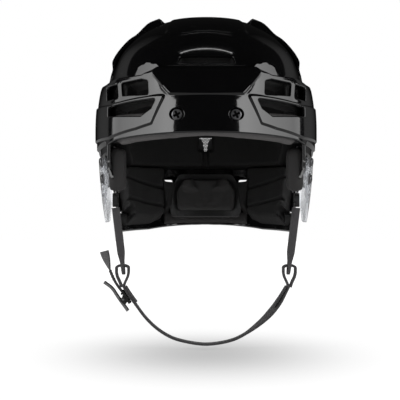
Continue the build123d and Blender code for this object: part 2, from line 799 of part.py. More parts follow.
def shifted(route, distance):
    """The route's points moved sideways by that distance, to the left of its run."""
    points = []
    for i, (x, z) in enumerate(route):
        before = route[max(i - 1, 0)]
        after = route[min(i + 1, len(route) - 1)]
        run_x, run_z = after[0] - before[0], after[1] - before[1]
        run = hypot(run_x, run_z)
        points.append((x - run_z / run * distance, z + run_x / run * distance))
    return points


def shortened(route):
    """The route with its first point drawn in along its own run."""
    (x0, z0), (x1, z1) = route[:2]
    share = fold_start / hypot(x1 - x0, z1 - z0)
    return [(x0 + (x1 - x0) * share, z0 + (z1 - z0) * share), *route[1:]]


def make_strap_fold(route, side):
    """The short second layer that is sewn inside one end of the chin strap."""
    beside = shifted(shortened(route), side * (web_thickness + clearance))
    return ribbon(beside, strap_y, web_width, web_thickness)[0]


def make_tail():
    """The free end of the chin strap beyond the buckle."""
    body, path, radii = ribbon(tail_route, strap_y, web_width, web_thickness)
    print("strap tail length", round(path.length, 1), "radii", [round(r, 1) for r in radii])
    return body


def buckle_pin_at():
    """Where the buckle's pin lies in the buckle's own plane."""
    return (-buckle_ear_up, buckle_out * buckle_pin_out)


def make_buckle_frame():
    """A sleeve round the strap with two ears that carry the pin."""
    plane = buckle_plane()
    slot_half = web_thickness / 2 + buckle_room
    sleeve_half = slot_half + buckle_side
    low_half = slot_half + web_thickness + clearance + buckle_side
    sleeve = Rectangle(buckle_length, sleeve_half + low_half)
    sleeve = Pos(0, -buckle_out * (low_half - sleeve_half) / 2) * sleeve
    body = extrude(plane * sleeve, buckle_width / 2, both=True)
    opening = Rectangle(2 * buckle_length, slot_half + low_half - buckle_side)
    opening = Pos(0, -buckle_out * (low_half - buckle_side - slot_half) / 2) * opening
    body -= extrude(plane * opening, web_width / 2 + clearance, both=True)
    ear = Pos(*buckle_pin_at()) * Circle(buckle_ear_radius)
    web = Pos(-buckle_ear_up, buckle_out * (sleeve_half + buckle_pin_out) / 2 - buckle_out * buckle_side / 2)
    ear += web * Rectangle(2 * buckle_ear_radius, buckle_pin_out - sleeve_half + buckle_side)
    ear_wall = (buckle_width - lever_width) / 2 - clearance
    for sign in (-1, 1):
        middle = plane.origin + plane.z_dir * sign * (buckle_width - ear_wall) / 2
        place = Plane(middle, plane.x_dir, plane.z_dir)
        body += extrude(place * ear, ear_wall / 2, both=True)
    return body - round_bar(buckle_pin_radius + pin_fit, reach)


def round_bar(radius, half):
    """A round bar on the line that the buckle's lever turns about."""
    return extrude(buckle_plane() * (Pos(*buckle_pin_at()) * Circle(radius)), half, both=True)


def make_buckle_pin():
    """The pin that the lever turns on."""
    return round_bar(buckle_pin_radius, buckle_width / 2)


def make_buckle_lever():
    """The bent lever plate with the barrel that turns on the pin."""
    points = [Vector(x, strap_y, z) for x, z in lever_route]
    path = FilletPolyline(*points, radius=lever_bend)
    start = Plane(origin=path @ 0, x_dir=(0, 1, 0), z_dir=path % 0)
    plate = sweep(start * Rectangle(lever_width, lever_thickness), path)
    barrel = round_bar(buckle_barrel_radius, lever_width / 2)
    return plate + barrel - round_bar(buckle_pin_radius + pin_fit, reach)


def latch_point(y, rise):
    """X at the latch's height, that far outside the rear shell at Y."""
    return side_x(y, latch_z, shell_gap + rise)


def latch_pin_x():
    """X of the latch pin, clear of its base."""
    return latch_point(latch_pin_y, latch_base_wall + clearance + latch_barrel_radius + latch_pin_lift)


def latch_field(low_y, high_y, half_height, radius):
    """A rounded outline on the side view, right through."""
    points = [(low_y, latch_z - half_height), (high_y, latch_z - half_height)]
    points += [(high_y, latch_z + half_height), (low_y, latch_z + half_height)]
    return side_prism(points, radius)


def pin_cylinder(radius, half):
    """An upright cylinder on the latch's hinge line."""
    return Cylinder(radius, 2 * half).moved(Pos(latch_pin_x(), latch_pin_y, latch_z))


def make_latch_base():
    """The curved plate on the rear shell with the two ears of the latch's hinge."""
    outer = shell_gap + clearance + latch_base_wall
    right = Box(reach, 2 * reach, 2 * reach).moved(Pos(reach / 2, 0, 0))
    field = latch_field(latch_low_y, latch_high_y, latch_half_height, latch_round)
    base = ring(outer, latch_base_wall) & field & right
    ears = pin_cylinder(latch_barrel_radius, latch_half_height)
    depth = latch_pin_x() - latch_point(latch_pin_y, latch_base_wall / 2)
    stem = Box(depth, 2 * latch_barrel_radius, 2 * latch_half_height)
    ears += stem.moved(Pos(latch_pin_x() - depth / 2, latch_pin_y, latch_z))
    gap = latch_barrel_half + clearance
    ears -= Box(reach, reach, 2 * gap).moved(Pos(reach / 2, 0, latch_z))
    base += ears
    room = Box(2 * latch_swing_room, 2 * latch_swing_room, 2 * gap)
    base -= room.moved(Pos(latch_pin_x(), latch_pin_y, latch_z))
    base -= pin_cylinder(latch_pin_radius + pin_fit, latch_half_height + clearance)
    plane = latch_screw_plane()
    base -= plane * hole(latch_screw_radius + hole_room)
    low = (Align.CENTER, Align.CENTER, Align.MIN)
    pocket = Cylinder(latch_head_radius + hole_room, hole_reach, align=low)
    return base - plane * pocket.moved(Pos(0, 0, clearance + latch_base_wall - latch_head_sink - pin_fit))


def latch_screw_plane():
    """The plane on the rear shell at the latch screw, with its normal outwards along X."""
    place = (latch_point(latch_screw_y, 0), latch_screw_y, latch_z)
    return Plane(origin=place, x_dir=(0, 1, 0), z_dir=(1, 0, 0))


def make_latch_screw():
    """The screw that ties one latch to its nut inside the front shell."""
    under = clearance + latch_base_wall - latch_head_sink
    shank = under + latch_point(latch_screw_y, 0) - latch_nut_x() + latch_nut_height
    body = screw(latch_head_radius, latch_head_height, latch_screw_radius, shank)
    return latch_screw_plane() * body.moved(Pos(0, 0, under))


def latch_nut_x():
    """X of the nut's outer face: clear of the front shell when the helmet is at its longest."""
    return side_x(latch_screw_y + adjust_travel + latch_nut_radius, latch_z, -2 * wall - clearance)


def make_latch_nut():
    """The nut that slides along inside the front shell."""
    nut = hexagon_nut(latch_nut_radius, latch_screw_radius + thread_gap, latch_nut_height)
    plane = Plane(origin=(latch_nut_x(), latch_screw_y, latch_z), x_dir=(0, 1, 0), z_dir=(1, 0, 0))
    return plane * nut


def make_latch_lever():
    """The curved lever over the base, with the barrel that turns on the upright pin."""
    outer = shell_gap + 2 * clearance + latch_base_wall + latch_lever_wall
    right = Box(reach, 2 * reach, 2 * reach).moved(Pos(reach / 2, 0, 0))
    field = latch_field(latch_low_y, latch_pin_y, latch_barrel_half, latch_tab_round)
    wide_end = latch_pin_y - latch_swing_room - clearance
    wide = latch_field(latch_low_y, wide_end, latch_half_height, latch_round)
    lever = ring(outer, latch_lever_wall) & (field + wide) & right
    lever += pin_cylinder(latch_barrel_radius, latch_barrel_half)
    return lever - pin_cylinder(latch_pin_radius + pin_fit, latch_half_height)


def make_latch_pin():
    """The upright pin of one latch."""
    return pin_cylinder(latch_pin_radius, latch_half_height)


def parts():
    """Every node's name with its solid or solids."""
    temple_pad = make_temple_pad()
    side_liner = make_side_liner()
    eyelet = make_eyelet()
    guard = make_guard()
    front_leg = make_ear_strap(snap_front_y, tab_drop)
    rear_leg = make_ear_strap(snap_rear_y, wall)
    slide = make_slide()
    ear_loop = make_ear_loop()
    chin_loop = make_chin_loop()
    latch_base = make_latch_base()
    latch_lever = make_latch_lever()
    latch_pin = make_latch_pin()
    guard_screws, guard_nuts = guard_fasteners()
    found = {
        "front_shell": make_front_shell(),
        "front_liner": make_front_liner(),
        "brow_pad": make_brow_pad(),
        "crown_pad": make_crown_pad(),
        "rear_shell": make_rear_shell(),
        "rear_liner": make_rear_liner(),
        "rear_vent_mesh": make_vent_mesh(),
        "cradle_rails": make_rails(),
        "occipital_cradle": make_cradle(),
        "occipital_pad": make_back_pad(),
        "front_screws": make_front_screws(),
        "front_nuts": make_front_nuts(),
        "ear_guard_screws": guard_screws,
        "ear_guard_nuts": guard_nuts,
        "ear_strap_snaps": make_snaps(),
        "latch_screws": both_sides(make_latch_screw()),
        "latch_nuts": both_sides(make_latch_nut()),
        "latch_pins": both_sides(latch_pin),
        "chin_strap": make_chin_strap(),
        "strap_fold_left": make_strap_fold(chin_route[:-4:-1], -1),
        "strap_fold_right": make_strap_fold(chin_route[:3], 1),
        "strap_tail": make_tail(),
        "buckle_frame": make_buckle_frame(),
        "buckle_pin": make_buckle_pin(),
        "buckle_lever": make_buckle_lever(),
    }
    pairs = {
        "temple_pad": temple_pad,
        "side_liner": side_liner,
        "corner_eyelet": eyelet,
        "ear_guard": guard,
        "ear_strap_front": front_leg,
        "ear_strap_rear": rear_leg,
        "strap_slide": slide,
        "ear_loop": ear_loop,
        "chin_loop": chin_loop,
        "latch_base": latch_base,
        "latch_lever": latch_lever,
    }
    for name, left in pairs.items():
        found[name + "_left"] = left
        found[name + "_right"] = mirrored(left)
    return found


os.makedirs("parts", exist_ok=True)
for name, shape in parts().items():
    items = shape if isinstance(shape, list) else [shape]
    solids = [solid for item in items for solid in item.solids()]
    export_step(Compound(children=solids), f"parts/{name}.step")
print("latch pin at", round(latch_pin_x(), 2), latch_pin_y, latch_z)
pin = buckle_plane().from_local_coords(Vector(*buckle_pin_at(), 0))
print("buckle pin at", round(pin.X, 2), round(pin.Y, 2), round(pin.Z, 2))
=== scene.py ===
# %% [markdown]
# # Ice hockey helmet
# The CAD frame gives every piece its place. This script dresses the frame as the photo shows it:
# a gloss black shell in two halves, foam and pads inside, clear ear guards, and a webbing chin strap.
# Pieces are measured in millimetres while they are shaped, and become metres when their mesh is made.
# +X is the wearer's left (the picture's right), -Y is forward and +Z is up.

# %% The frame
import math

import bpy
import numpy as np
from mathutils import Matrix, Vector
from mathutils.geometry import delaunay_2d_cdt
from mathutils.kdtree import KDTree


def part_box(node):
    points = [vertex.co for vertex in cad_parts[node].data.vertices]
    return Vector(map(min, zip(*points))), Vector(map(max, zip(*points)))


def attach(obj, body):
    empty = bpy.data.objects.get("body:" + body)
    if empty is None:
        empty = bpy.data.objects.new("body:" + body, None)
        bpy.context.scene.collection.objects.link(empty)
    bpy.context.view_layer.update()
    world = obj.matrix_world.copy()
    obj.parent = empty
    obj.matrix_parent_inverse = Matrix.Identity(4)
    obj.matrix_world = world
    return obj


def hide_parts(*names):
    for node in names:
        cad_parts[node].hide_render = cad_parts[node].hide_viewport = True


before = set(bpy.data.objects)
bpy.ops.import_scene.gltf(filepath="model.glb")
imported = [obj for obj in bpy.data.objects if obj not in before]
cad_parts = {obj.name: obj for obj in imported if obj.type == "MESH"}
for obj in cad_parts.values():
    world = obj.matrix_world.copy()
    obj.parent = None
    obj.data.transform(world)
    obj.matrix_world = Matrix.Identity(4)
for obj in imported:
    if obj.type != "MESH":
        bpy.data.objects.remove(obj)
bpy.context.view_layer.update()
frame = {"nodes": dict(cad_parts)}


# %% Objects
def placed(name, data):
    """A new object with this data, in the scene."""
    made = bpy.data.objects.new(name, data)
    bpy.context.collection.objects.link(made)
    return made


def painted(mesh, material):
    mesh.materials.clear()
    mesh.materials.append(material)


def evaluated(made):
    """The object as its modifiers leave it."""
    return made.evaluated_get(bpy.context.evaluated_depsgraph_get())


# %% [markdown]
# ## Camera
# The photo was taken level with the ear loops, from about one and a half metres, straight at the face.
# The helmet stands a little right of the picture's centre, so the camera stands a little left of it.

# %% Camera
camera_distance = 1.5
camera_aside = -0.006
camera_height = -0.064
picture_width = 0.4
camera_data = bpy.data.cameras.new("camera")
camera_data.sensor_width = 36
camera_data.lens = camera_data.sensor_width * camera_distance / picture_width
camera = placed("camera", camera_data)
camera.location = (camera_aside, -camera_distance, camera_height)
camera.rotation_euler = (math.pi / 2, 0, 0)
bpy.context.scene.camera = camera

# %% [markdown]
# ## Shader maths
# A material's masks are sums and products of sockets. Written as nodes they are hard to read, so this
# class wraps a socket, and ordinary Python operators on it add the Math nodes.


# %% Sockets and node trees
class Value:
    """A socket that can be added and multiplied."""

    def __init__(self, nodes, socket):
        self.nodes = nodes
        self.socket = socket

    def maths(self, operation, other=0.0):
        return self.nodes.add("ShaderNodeMath", {"operation": operation}, {0: self, 1: other})

    def __add__(self, other):
        return self.maths("ADD", other)

    def __mul__(self, other):
        return self.maths("MULTIPLY", other)

    def __sub__(self, other):
        return self.maths("SUBTRACT", other)

    def __rsub__(self, other):
        return self * -1.0 + other


class Nodes:
    """A node tree being filled. add() makes any node and gives one of its outputs."""

    def __init__(self, tree):
        self.tree = tree

    def add(self, kind, settings={}, inputs={}, output=0):
        node = self.tree.nodes.new(kind)
        for name, value in settings.items():
            setattr(node, name, value)
        for name, value in inputs.items():
            if isinstance(value, Value):
                self.tree.links.new(value.socket, node.inputs[name])
            else:
                node.inputs[name].default_value = value
        return Value(self, node.outputs[output])


class Finish(Nodes):
    """A material being made. set() links a value to its shader."""

    def __init__(self, name, **constants):
        self.material = bpy.data.materials.new(name)
        self.material.use_nodes = True
        super().__init__(self.material.node_tree)
        self.shader = self.tree.nodes["Principled BSDF"]
        for socket, value in constants.items():
            self.shader.inputs[socket.replace("_", " ")].default_value = value

    def set(self, socket, value):
        self.tree.links.new(value.socket, self.shader.inputs[socket])

    def place(self):
        return self.add("ShaderNodeTexCoord", output="Object")

    def noise(self, scale, detail=2.0):
        return self.add("ShaderNodeTexNoise", {}, {"Vector": self.place(), "Scale": scale, "Detail": detail}, "Fac")

    def colour(self, factor, first, second):
        """A mix of two colours. A Mix node's input 0 is the factor, and 6 and 7 are its colours."""
        inputs = {0: factor, 6: first if isinstance(first, Value) else (*first, 1), 7: (*second, 1)}
        return self.add("ShaderNodeMix", {"data_type": "RGBA"}, inputs, "Result")

    def bump(self, height, distance):
        self.set("Normal", self.add("ShaderNodeBump", {}, {"Height": height, "Distance": distance}, "Normal"))


# %% [markdown]
# ## Gloss black shell
# The shell is injection-moulded and highly polished. It is nearly black, and what the eye sees is the
# studio's panels in it. Faint orange peel in the bump and a little haze from handling in the roughness
# keep the reflections from looking computed.

# %% Shell finish
gloss = Finish("shell_gloss", Coat_Weight=1.0, Coat_Roughness=0.03)
haze = gloss.noise(35.0, 4.0)
gloss.set("Base Color", gloss.colour(haze, (0.0015, 0.0015, 0.0018), (0.003, 0.003, 0.0032)))
gloss.set("Roughness", haze * 0.07 + 0.07)
gloss.bump(gloss.noise(220.0, 1.0), 0.00004)

# %% [markdown]
# ## Foam, vinyl and plastics
# The liner is moulded foam with a dense skin and fine closed cells. The pads are covered in a soft
# matt vinyl, and the small fittings are satin nylon. Each differs in how rough it is and in the size
# of its grain. The recesses of screw heads are rougher, and painted darker as shade, by the attribute "deep" of the
# mesh.

# %% Foam
def foam(name, dark, light, cell):
    finish = Finish(name)
    grain = finish.noise(cell, 3.0)
    patches = finish.noise(18.0, 2.0)
    finish.set("Base Color", finish.colour(grain * 0.5 + patches * 0.5, dark, light))
    finish.set("Roughness", grain * 0.25 + 0.55)
    cells = finish.add("ShaderNodeTexVoronoi", {}, {"Vector": finish.place(), "Scale": cell * 1.6}, "Distance")
    finish.bump(cells * 0.6 + grain * 0.4, 0.00025)
    return finish.material


foam_black = foam("foam_black", (0.004, 0.0038, 0.0038), (0.009, 0.0085, 0.0085), 900.0)
foam_grey = foam("foam_grey", (0.045, 0.043, 0.043), (0.085, 0.08, 0.08), 1100.0)
pad_vinyl = foam("pad_vinyl", (0.014, 0.0132, 0.0132), (0.028, 0.0262, 0.0262), 1500.0)


# %% Plastics and metal
def moulded(name, dark, light, rough, grain_scale=1400.0, metal=0.0):
    finish = Finish(name, Metallic=metal)
    grain = finish.noise(grain_scale, 2.0)
    wear = finish.noise(60.0, 4.0)
    deep = finish.add("ShaderNodeAttribute", {"attribute_name": "deep"}, output="Fac")
    # Where the attribute deep is set, in screw heads' recesses, the colour goes near black: painted shade.
    finish.set("Base Color", finish.colour(deep, finish.colour(wear, dark, light), (0.004, 0.004, 0.004)))
    finish.set("Roughness", wear * 0.2 + grain * 0.1 + deep * 0.5 + (rough - 0.15))
    finish.bump(grain, 0.00006)
    return finish.material


plastic_black = moulded("plastic_black", (0.01, 0.01, 0.01), (0.018, 0.018, 0.018), 0.42)
plastic_grey = moulded("plastic_grey", (0.12, 0.118, 0.12), (0.17, 0.168, 0.17), 0.4)
screw_black = moulded("screw_black", (0.12, 0.12, 0.125), (0.26, 0.26, 0.27), 0.3, 900.0, 0.8)
steel = moulded("steel", (0.35, 0.35, 0.36), (0.5, 0.5, 0.51), 0.3, 700.0, 1.0)
mesh_pale = moulded("mesh_pale", (0.02, 0.02, 0.02), (0.05, 0.05, 0.05), 0.6)

# %% [markdown]
# ## Clear guards
# The ear guards are clear polycarbonate with a faint blue cast. Transmission shows what is behind
# them, and fine scratches in the roughness catch the light.

# %% Clear plastic
clear = Finish("clear_guard", IOR=1.12, Transmission_Weight=0.85, Alpha=0.65)
scratch = clear.noise(160.0, 6.0)
clear.set("Base Color", clear.colour(scratch, (0.9, 0.93, 0.985), (0.96, 0.975, 1.0)))
clear.set("Roughness", scratch * 0.03)

# %% [markdown]
# ## Webbing
# The straps are flat woven nylon: ribs run along them in a fine herringbone, and the two edges are
# bound. The pattern follows the strap, so it reads the strap's own UV map, whose U is the length and
# V is the width, both in millimetres.

# %% Webbing finish
webbing = Finish("webbing", Sheen_Weight=0.25, Sheen_Roughness=0.5)
along_across = webbing.add("ShaderNodeUVMap", {"uv_map": "UVMap"})
along, across = (webbing.add("ShaderNodeSeparateXYZ", {}, {"Vector": along_across}, axis) for axis in "XY")
slant = (across * 2.1).maths("SINE") * 1.2
twill = (along * 5.2 + slant).maths("SINE") * 0.5 + 0.5
rib = (across * 6.3).maths("SINE") * 0.5 + 0.5
weave = twill * 0.6 + rib * 0.4
webbing.set("Base Color", webbing.colour(weave, (0.016, 0.0155, 0.0165), (0.078, 0.074, 0.078)))
webbing.set("Roughness", 0.85 - weave * 0.2)
webbing.bump(weave, 0.00022)
thread = Finish("thread", Roughness=0.6)
thread.set("Base Color", thread.colour(thread.noise(2000.0), (0.05, 0.05, 0.05), (0.11, 0.11, 0.11)))
thread.bump(thread.noise(1500.0), 0.0001)

# %% [markdown]
# ## Chin strap
# The strap is one length of webbing that hangs between the two ear loops. The line is a smooth spline
# through the air, set by the points of the hanging route, and the strap is a flat section carried
# along it. Its ends are folded back round the ear loops and sewn.

# %% The chin strap's line
chin_route = [
    (-84, -149), (-79, -158), (-71.5, -168), (-62, -181.5), (-51, -192.5), (-40, -200), (-29, -205), (-6, -209.5),
    (9, -209), (26.5, -205.5), (38, -200), (48, -193), (59, -184), (69, -173), (77, -161), (84, -149),
]
tail_route = [(-81.1, -160), (-87.9, -152.5), (-94, -142), (-98.6, -129.5), (-102.6, -115.5)]
strap_y = 12.0


def spline_points(route):
    """Points along the NURBS spline that has this route of X and Z as its control points, in millimetres."""
    curve = bpy.data.curves.new("route", "CURVE")
    curve.dimensions = "3D"
    curve.resolution_u = 8
    spline = curve.splines.new("NURBS")
    spline.points.add(len(route) - 1)
    for point, (x, z) in zip(spline.points, route):
        point.co = (x, strap_y, z, 1)
    spline.order_u = 3
    spline.use_endpoint_u = True
    holder = bpy.data.objects.new("route", curve)
    mesh = bpy.data.meshes.new_from_object(holder)
    points = np.array([vertex.co for vertex in mesh.vertices])
    bpy.data.objects.remove(holder)
    bpy.data.meshes.remove(mesh)
    return points


def lengths(line):
    """How far along a line of points each point is."""
    return np.concatenate([[0], np.cumsum(np.linalg.norm(np.diff(line, axis=0), axis=1))])


chin_line = spline_points(chin_route)
chin_length = float(lengths(chin_line)[-1])
print("chin strap line", round(chin_length, 1), "mm")


# %% Making a mesh of millimetres
def piece(name, points, faces, material, smooth_angle=50):
    """A piece in metres from points in millimetres, smooth where its faces meet at less than the angle."""
    mesh = bpy.data.meshes.new(name)
    mesh.from_pydata((np.asarray(points, float) / 1000).tolist(), [], [tuple(map(int, face)) for face in faces])
    mesh.update()
    mesh.polygons.foreach_set("use_smooth", [True] * len(mesh.polygons))
    mesh.set_sharp_from_angle(angle=math.radians(smooth_angle))
    mesh.materials.append(material)
    return placed(name, mesh)


def lofted(name, rows, material, smooth_angle=50, flip=False):
    """A closed piece through rows of points. Each row is a closed section."""
    count, last = len(rows[0]), len(rows) - 1
    faces = []
    for i in range(last):
        for j in range(count):
            k = (j + 1) % count
            faces.append((i * count + j, (i + 1) * count + j, (i + 1) * count + k, i * count + k))
    faces += [tuple(range(count)), tuple(reversed(range(last * count, (last + 1) * count)))]
    if flip:
        faces = [(face[0], *face[:0:-1]) for face in faces]
    return piece(name, np.reshape(rows, (-1, 3)), faces, material, smooth_angle)


def strap(name, line, width, thickness, across=(0, 1, 0), twist=None, material=webbing.material, narrow=None):
    """Flat webbing along a line of points. across is the width's direction, twist turns it at each point,
    and narrow is the share of the width that each point keeps."""
    line = np.asarray(line, float)
    run = np.gradient(line, axis=0)
    run /= np.linalg.norm(run, axis=1)[:, None]
    side = np.tile(np.asarray(across, float), (len(line), 1))
    side -= run * np.sum(side * run, axis=1)[:, None]
    side /= np.linalg.norm(side, axis=1)[:, None]
    up = np.cross(run, side)
    if twist is not None:
        turn = np.asarray(twist)[:, None]
        side, up = side * np.cos(turn) + up * np.sin(turn), up * np.cos(turn) - side * np.sin(turn)
    half, thin = width / 2, thickness / 2
    edge = thin * 0.6
    quarter = [(half * 0.4, thin), (half - edge * 1.6, thin), (half - edge * 0.35, thin * 0.75), (half, 0)]
    section = [(-s, t) for s, t in reversed(quarter)] + quarter
    section += [(s, -t) for s, t in section[-2:0:-1]]
    share = np.ones(len(line)) if narrow is None else narrow
    rows = [[p + s * a * w + u * b for a, b in section] for p, s, u, w in zip(line, side, up, share)]
    made = lofted(name, rows, material)
    length = lengths(line)
    uv = made.data.uv_layers.new(name="UVMap")
    for loop in made.data.loops:
        row, corner = divmod(loop.vertex_index, len(section))
        uv.data[loop.index].uv = (length[row], section[corner][0])
    return made


# %% The chin strap
strap_width = 15.0
strap_thickness = 1.8
left_half = np.clip((chin_line[:, 0] - 40) / 25, 0, 1) * np.clip((86 - chin_line[:, 0]) / 12, 0, 1)
chin_strap = strap("chin_strap_webbing", chin_line, strap_width, 2.3, twist=0.34 * left_half)

# %% [markdown]
# ## The helmet's form
# Every layer of the helmet, from the shell to the innermost pad, follows one rounded form, moved out
# or in by a distance. The form's half width and half length fall off with height as superellipses,
# whose powers make the dome squarer from the front than from the side.

# %% The form
half_wide, half_long, crown, deep = 107.5, 138.0, 118.6, 240.0
wide_power, long_power = 2.45, 2.3
wrap_radius = 110.0
halvings = 36
beyond_all = 400.0  # millimetres, well outside the form


def smooth(t):
    t = np.clip(t, 0, 1)
    return t * t * (3 - 2 * t)


def half_sizes(z, grow):
    """Half width and half length of the grown form at each height."""
    up = np.clip(z / (crown + grow), 0, 0.999999)
    down = np.clip(1 - (np.minimum(z, 0) / (deep + grow)) ** 2, 0.01, 1) ** 0.5
    wide = (half_wide + grow) * (1 - up**wide_power) ** (1 / wide_power) * down
    long = (half_long + grow) * (1 - up**long_power) ** (1 / long_power) * down
    return wide, long


def sizes_at(z, grow=0.0):
    """The same at one height, as two numbers."""
    wide, long = half_sizes(np.array([float(z)]), grow)
    return wide[0], long[0]


def beyond(x, y, z, grow):
    """Whether points are outside the grown form."""
    wide, long = half_sizes(z, grow)
    return ((x / wide) ** 2 + (y / long) ** 2 > 1) | (z > crown + grow)


def last_inside(low, high, outside):
    """The last place before outside() turns true, between each low and high, found by halving."""
    for _ in range(halvings):
        middle = (low + high) / 2
        out = outside(middle)
        low, high = np.where(out, low, middle), np.where(out, middle, high)
    return low


def waist(turn, z):
    """How far the form draws in above the ledge, at an angle from straight ahead and a height. It fades in
    and out round the sides, from 0.35 to 2.9 radians, and from 44 to 84 mm up."""
    turn = np.abs(turn)
    side = smooth((turn - 0.35) / 0.35) * smooth((2.9 - turn) / 0.6)
    return -3.0 * side * smooth((z - 44) / 12) * smooth((84 - z) / 26)


def on_form(direction, grow):
    """Where rays from the origin meet the grown form, with its waist drawn in."""
    point = on_plain_form(direction, grow)
    return on_plain_form(direction, grow + waist(np.arctan2(point[:, 0], -point[:, 1]), point[:, 2]))


def on_plain_form(direction, grow):
    """Where rays from the origin meet the grown form."""
    low = np.zeros(len(direction))
    grow = np.broadcast_to(grow, low.shape)
    reach = last_inside(low, low + beyond_all, lambda reach: beyond(*(direction * reach[:, None]).T, grow))
    return direction * reach[:, None]


# %% [markdown]
# Panels, vents and grooves are drawn as outlines. Low ones are drawn on a strip wrapped round the
# form: the first number is the distance round from the middle of the front (or of the back), the
# second is the height. Those on the crown are drawn as seen from above. Two small functions turn a
# point seen from the front or from the side into the strip's numbers.

# %% Outlines on the form
def from_wrap(points, grow, back):
    points = np.asarray(points, float)
    turn = points[:, 0] / wrap_radius
    wide, long = half_sizes(points[:, 1], grow)
    reach = 1 / np.sqrt((np.sin(turn) / wide) ** 2 + (np.cos(turn) / long) ** 2)
    return np.column_stack([reach * np.sin(turn), (1 if back else -1) * reach * np.cos(turn), points[:, 1]])


def to_wrap(points, back):
    turn = np.arctan2(points[:, 0], (1 if back else -1) * points[:, 1])
    return np.column_stack([wrap_radius * turn, points[:, 2]])


def from_top(points, grow):
    points = np.asarray(points, float)
    low = np.zeros(len(points))
    height = last_inside(low, low + crown + grow, lambda z: beyond(*points.T, z, grow))
    return np.column_stack([points, height])


def seen_end(x, z):
    """A point seen from the front, or from the back for a skin whose strip starts there."""
    wide, long = sizes_at(z)
    return (wrap_radius * math.atan2(x, long * math.sqrt(max(0, 1 - (x / wide) ** 2))), z)


def seen_side(y, z, back=False):
    wide, long = sizes_at(z)
    return (wrap_radius * math.atan2(wide * math.sqrt(max(0, 1 - (y / long) ** 2)), y if back else -y), z)


def end_outline(*points):
    return [seen_end(x, z) for x, z in points]


def side_outline(*points, back=False):
    return [seen_side(y, z, back) for y, z in points]


def resample(points, step, closed=True):
    points = [np.asarray(point, float) for point in points]
    if closed:
        points = points + points[:1]
    out = []
    for start, end in zip(points, points[1:]):
        count = max(1, round(float(np.linalg.norm(end - start)) / step))
        out += [start + (end - start) * i / count for i in range(count)]
    if not closed:
        out.append(points[-1])
    return np.array(out)


def rounded(points, radius):
    """A closed outline with round corners."""
    out = []
    for i in range(len(points)):
        before, corner, after = (np.asarray(points[j % len(points)], float) for j in (i - 1, i, i + 1))
        first, second = before - corner, after - corner
        first_length, second_length = np.linalg.norm(first), np.linalg.norm(second)
        first, second = first / first_length, second / second_length
        angle = math.acos(np.clip(np.dot(first, second), -1, 1))
        cut = min(radius / math.tan(angle / 2), 0.45 * first_length, 0.45 * second_length)
        if cut < 0.05:
            out.append(corner)
            continue
        start, end = corner + first * cut, corner + second * cut
        for t in np.linspace(0, 1, 7):
            out.append((1 - t) ** 2 * start + 2 * t * (1 - t) * corner + t**2 * end)
    return np.array(out)


def both(outline):
    return [np.asarray(outline, float), np.asarray(outline, float) * (-1, 1)]


# %% [markdown]
# ## Skins
# A skin is a closed wall on the form. Its outer face is one sheet of triangles: every edge, vent and
# step line is given to a Delaunay triangulation as lines that it must keep, so steps stay crisp and
# the surface between them stays perfectly smooth, which gloss black needs. The sheet is worked out on
# a flat map of directions, lifted to the form, raised inside each panel's outline, and closed with a
# second sheet behind it.

# %% Helpers for skins
def grown(outline, distance):
    """The closed outline moved outwards."""
    before, after = np.roll(outline, 1, 0), np.roll(outline, -1, 0)
    run = after - before
    run /= np.linalg.norm(run, axis=1)[:, None] + 1e-9
    turned = np.column_stack([run[:, 1], -run[:, 0]])
    area = np.sum(outline[:, 0] * after[:, 1] - after[:, 0] * outline[:, 1])
    return outline + turned * distance * (1 if area > 0 else -1)


def depth_in(points, outline):
    """How far each point is inside a closed outline, negative outside it."""
    best = np.full(len(points), 1e9)
    inside = np.zeros(len(points), bool)
    px, py = points[:, 0], points[:, 1]
    for (ax, ay), (bx, by) in zip(outline, np.roll(outline, -1, 0)):
        ex, ey = bx - ax, by - ay
        t = np.clip(((px - ax) * ex + (py - ay) * ey) / (ex * ex + ey * ey + 1e-12), 0, 1)
        best = np.minimum(best, (px - ax - t * ex) ** 2 + (py - ay - t * ey) ** 2)
        if ay != by:
            inside ^= ((ay > py) != (by > py)) & (px < ax + (py - ay) * ex / ey)
    return np.sqrt(best) * np.where(inside, 1, -1)


def flat(points):
    """A plane map of directions that keeps small shapes."""
    unit = points / np.linalg.norm(points, axis=1)[:, None]
    return unit[:, :2] * (2 / (1 + unit[:, 2]))[:, None]


def unflat(points):
    square = np.sum(points**2, axis=1)
    return np.column_stack([points * 4, 4 - square]) / (4 + square)[:, None]


def middle_loop(path, grow, step=1.5):
    """The edge of a skin that crosses the middle plane, from a path seen from the side, mirrored."""
    rows = resample(path, step, closed=False)
    wide, long = half_sizes(rows[:, 1], grow)
    kept = np.abs(rows[:, 0]) < long
    rows, wide, long = rows[kept], wide[kept], long[kept]
    x = wide * np.sqrt(np.clip(1 - (rows[:, 0] / long) ** 2, 0, 1))
    right = np.column_stack([x, rows])[x > 0.6 * step]
    ends = [on_form(np.array([[0, *right[i, 1:]]]) / np.linalg.norm(right[i, 1:]), grow) for i in (0, -1)]
    coarse = np.vstack([ends[0], right, ends[1], right[::-1] * (-1, 1, 1)])
    fine = resample(coarse, step)
    return on_plain_form(fine / np.linalg.norm(fine, axis=1)[:, None], grow)


def tree_of(points):
    tree = KDTree(len(points))
    for i, point in enumerate(points):
        tree.insert(point, i)
    tree.balance()
    return tree


# %% Sheets of triangles
def triangulated(lines, fill, tolerance):
    """Corners and triangles over closed lines, which stay edges, and over loose points."""
    edges, start = [], 0
    for line in lines:
        edges += [(start + i, start + (i + 1) % len(line)) for i in range(len(line))]
        start += len(line)
    points = [Vector(point) for point in np.vstack(lines + fill).tolist()]
    result = delaunay_2d_cdt(points, edges, [], 0, tolerance)
    return np.array([tuple(spot) for spot in result[0]]), np.array(result[2])


def open_edges(faces):
    """The edges that only one triangle has."""
    sides = {tuple(pair) for pair in np.vstack([faces[:, [0, 1]], faces[:, [1, 2]], faces[:, [2, 0]]]).tolist()}
    return [(a, b) for a, b in sides if (b, a) not in sides]


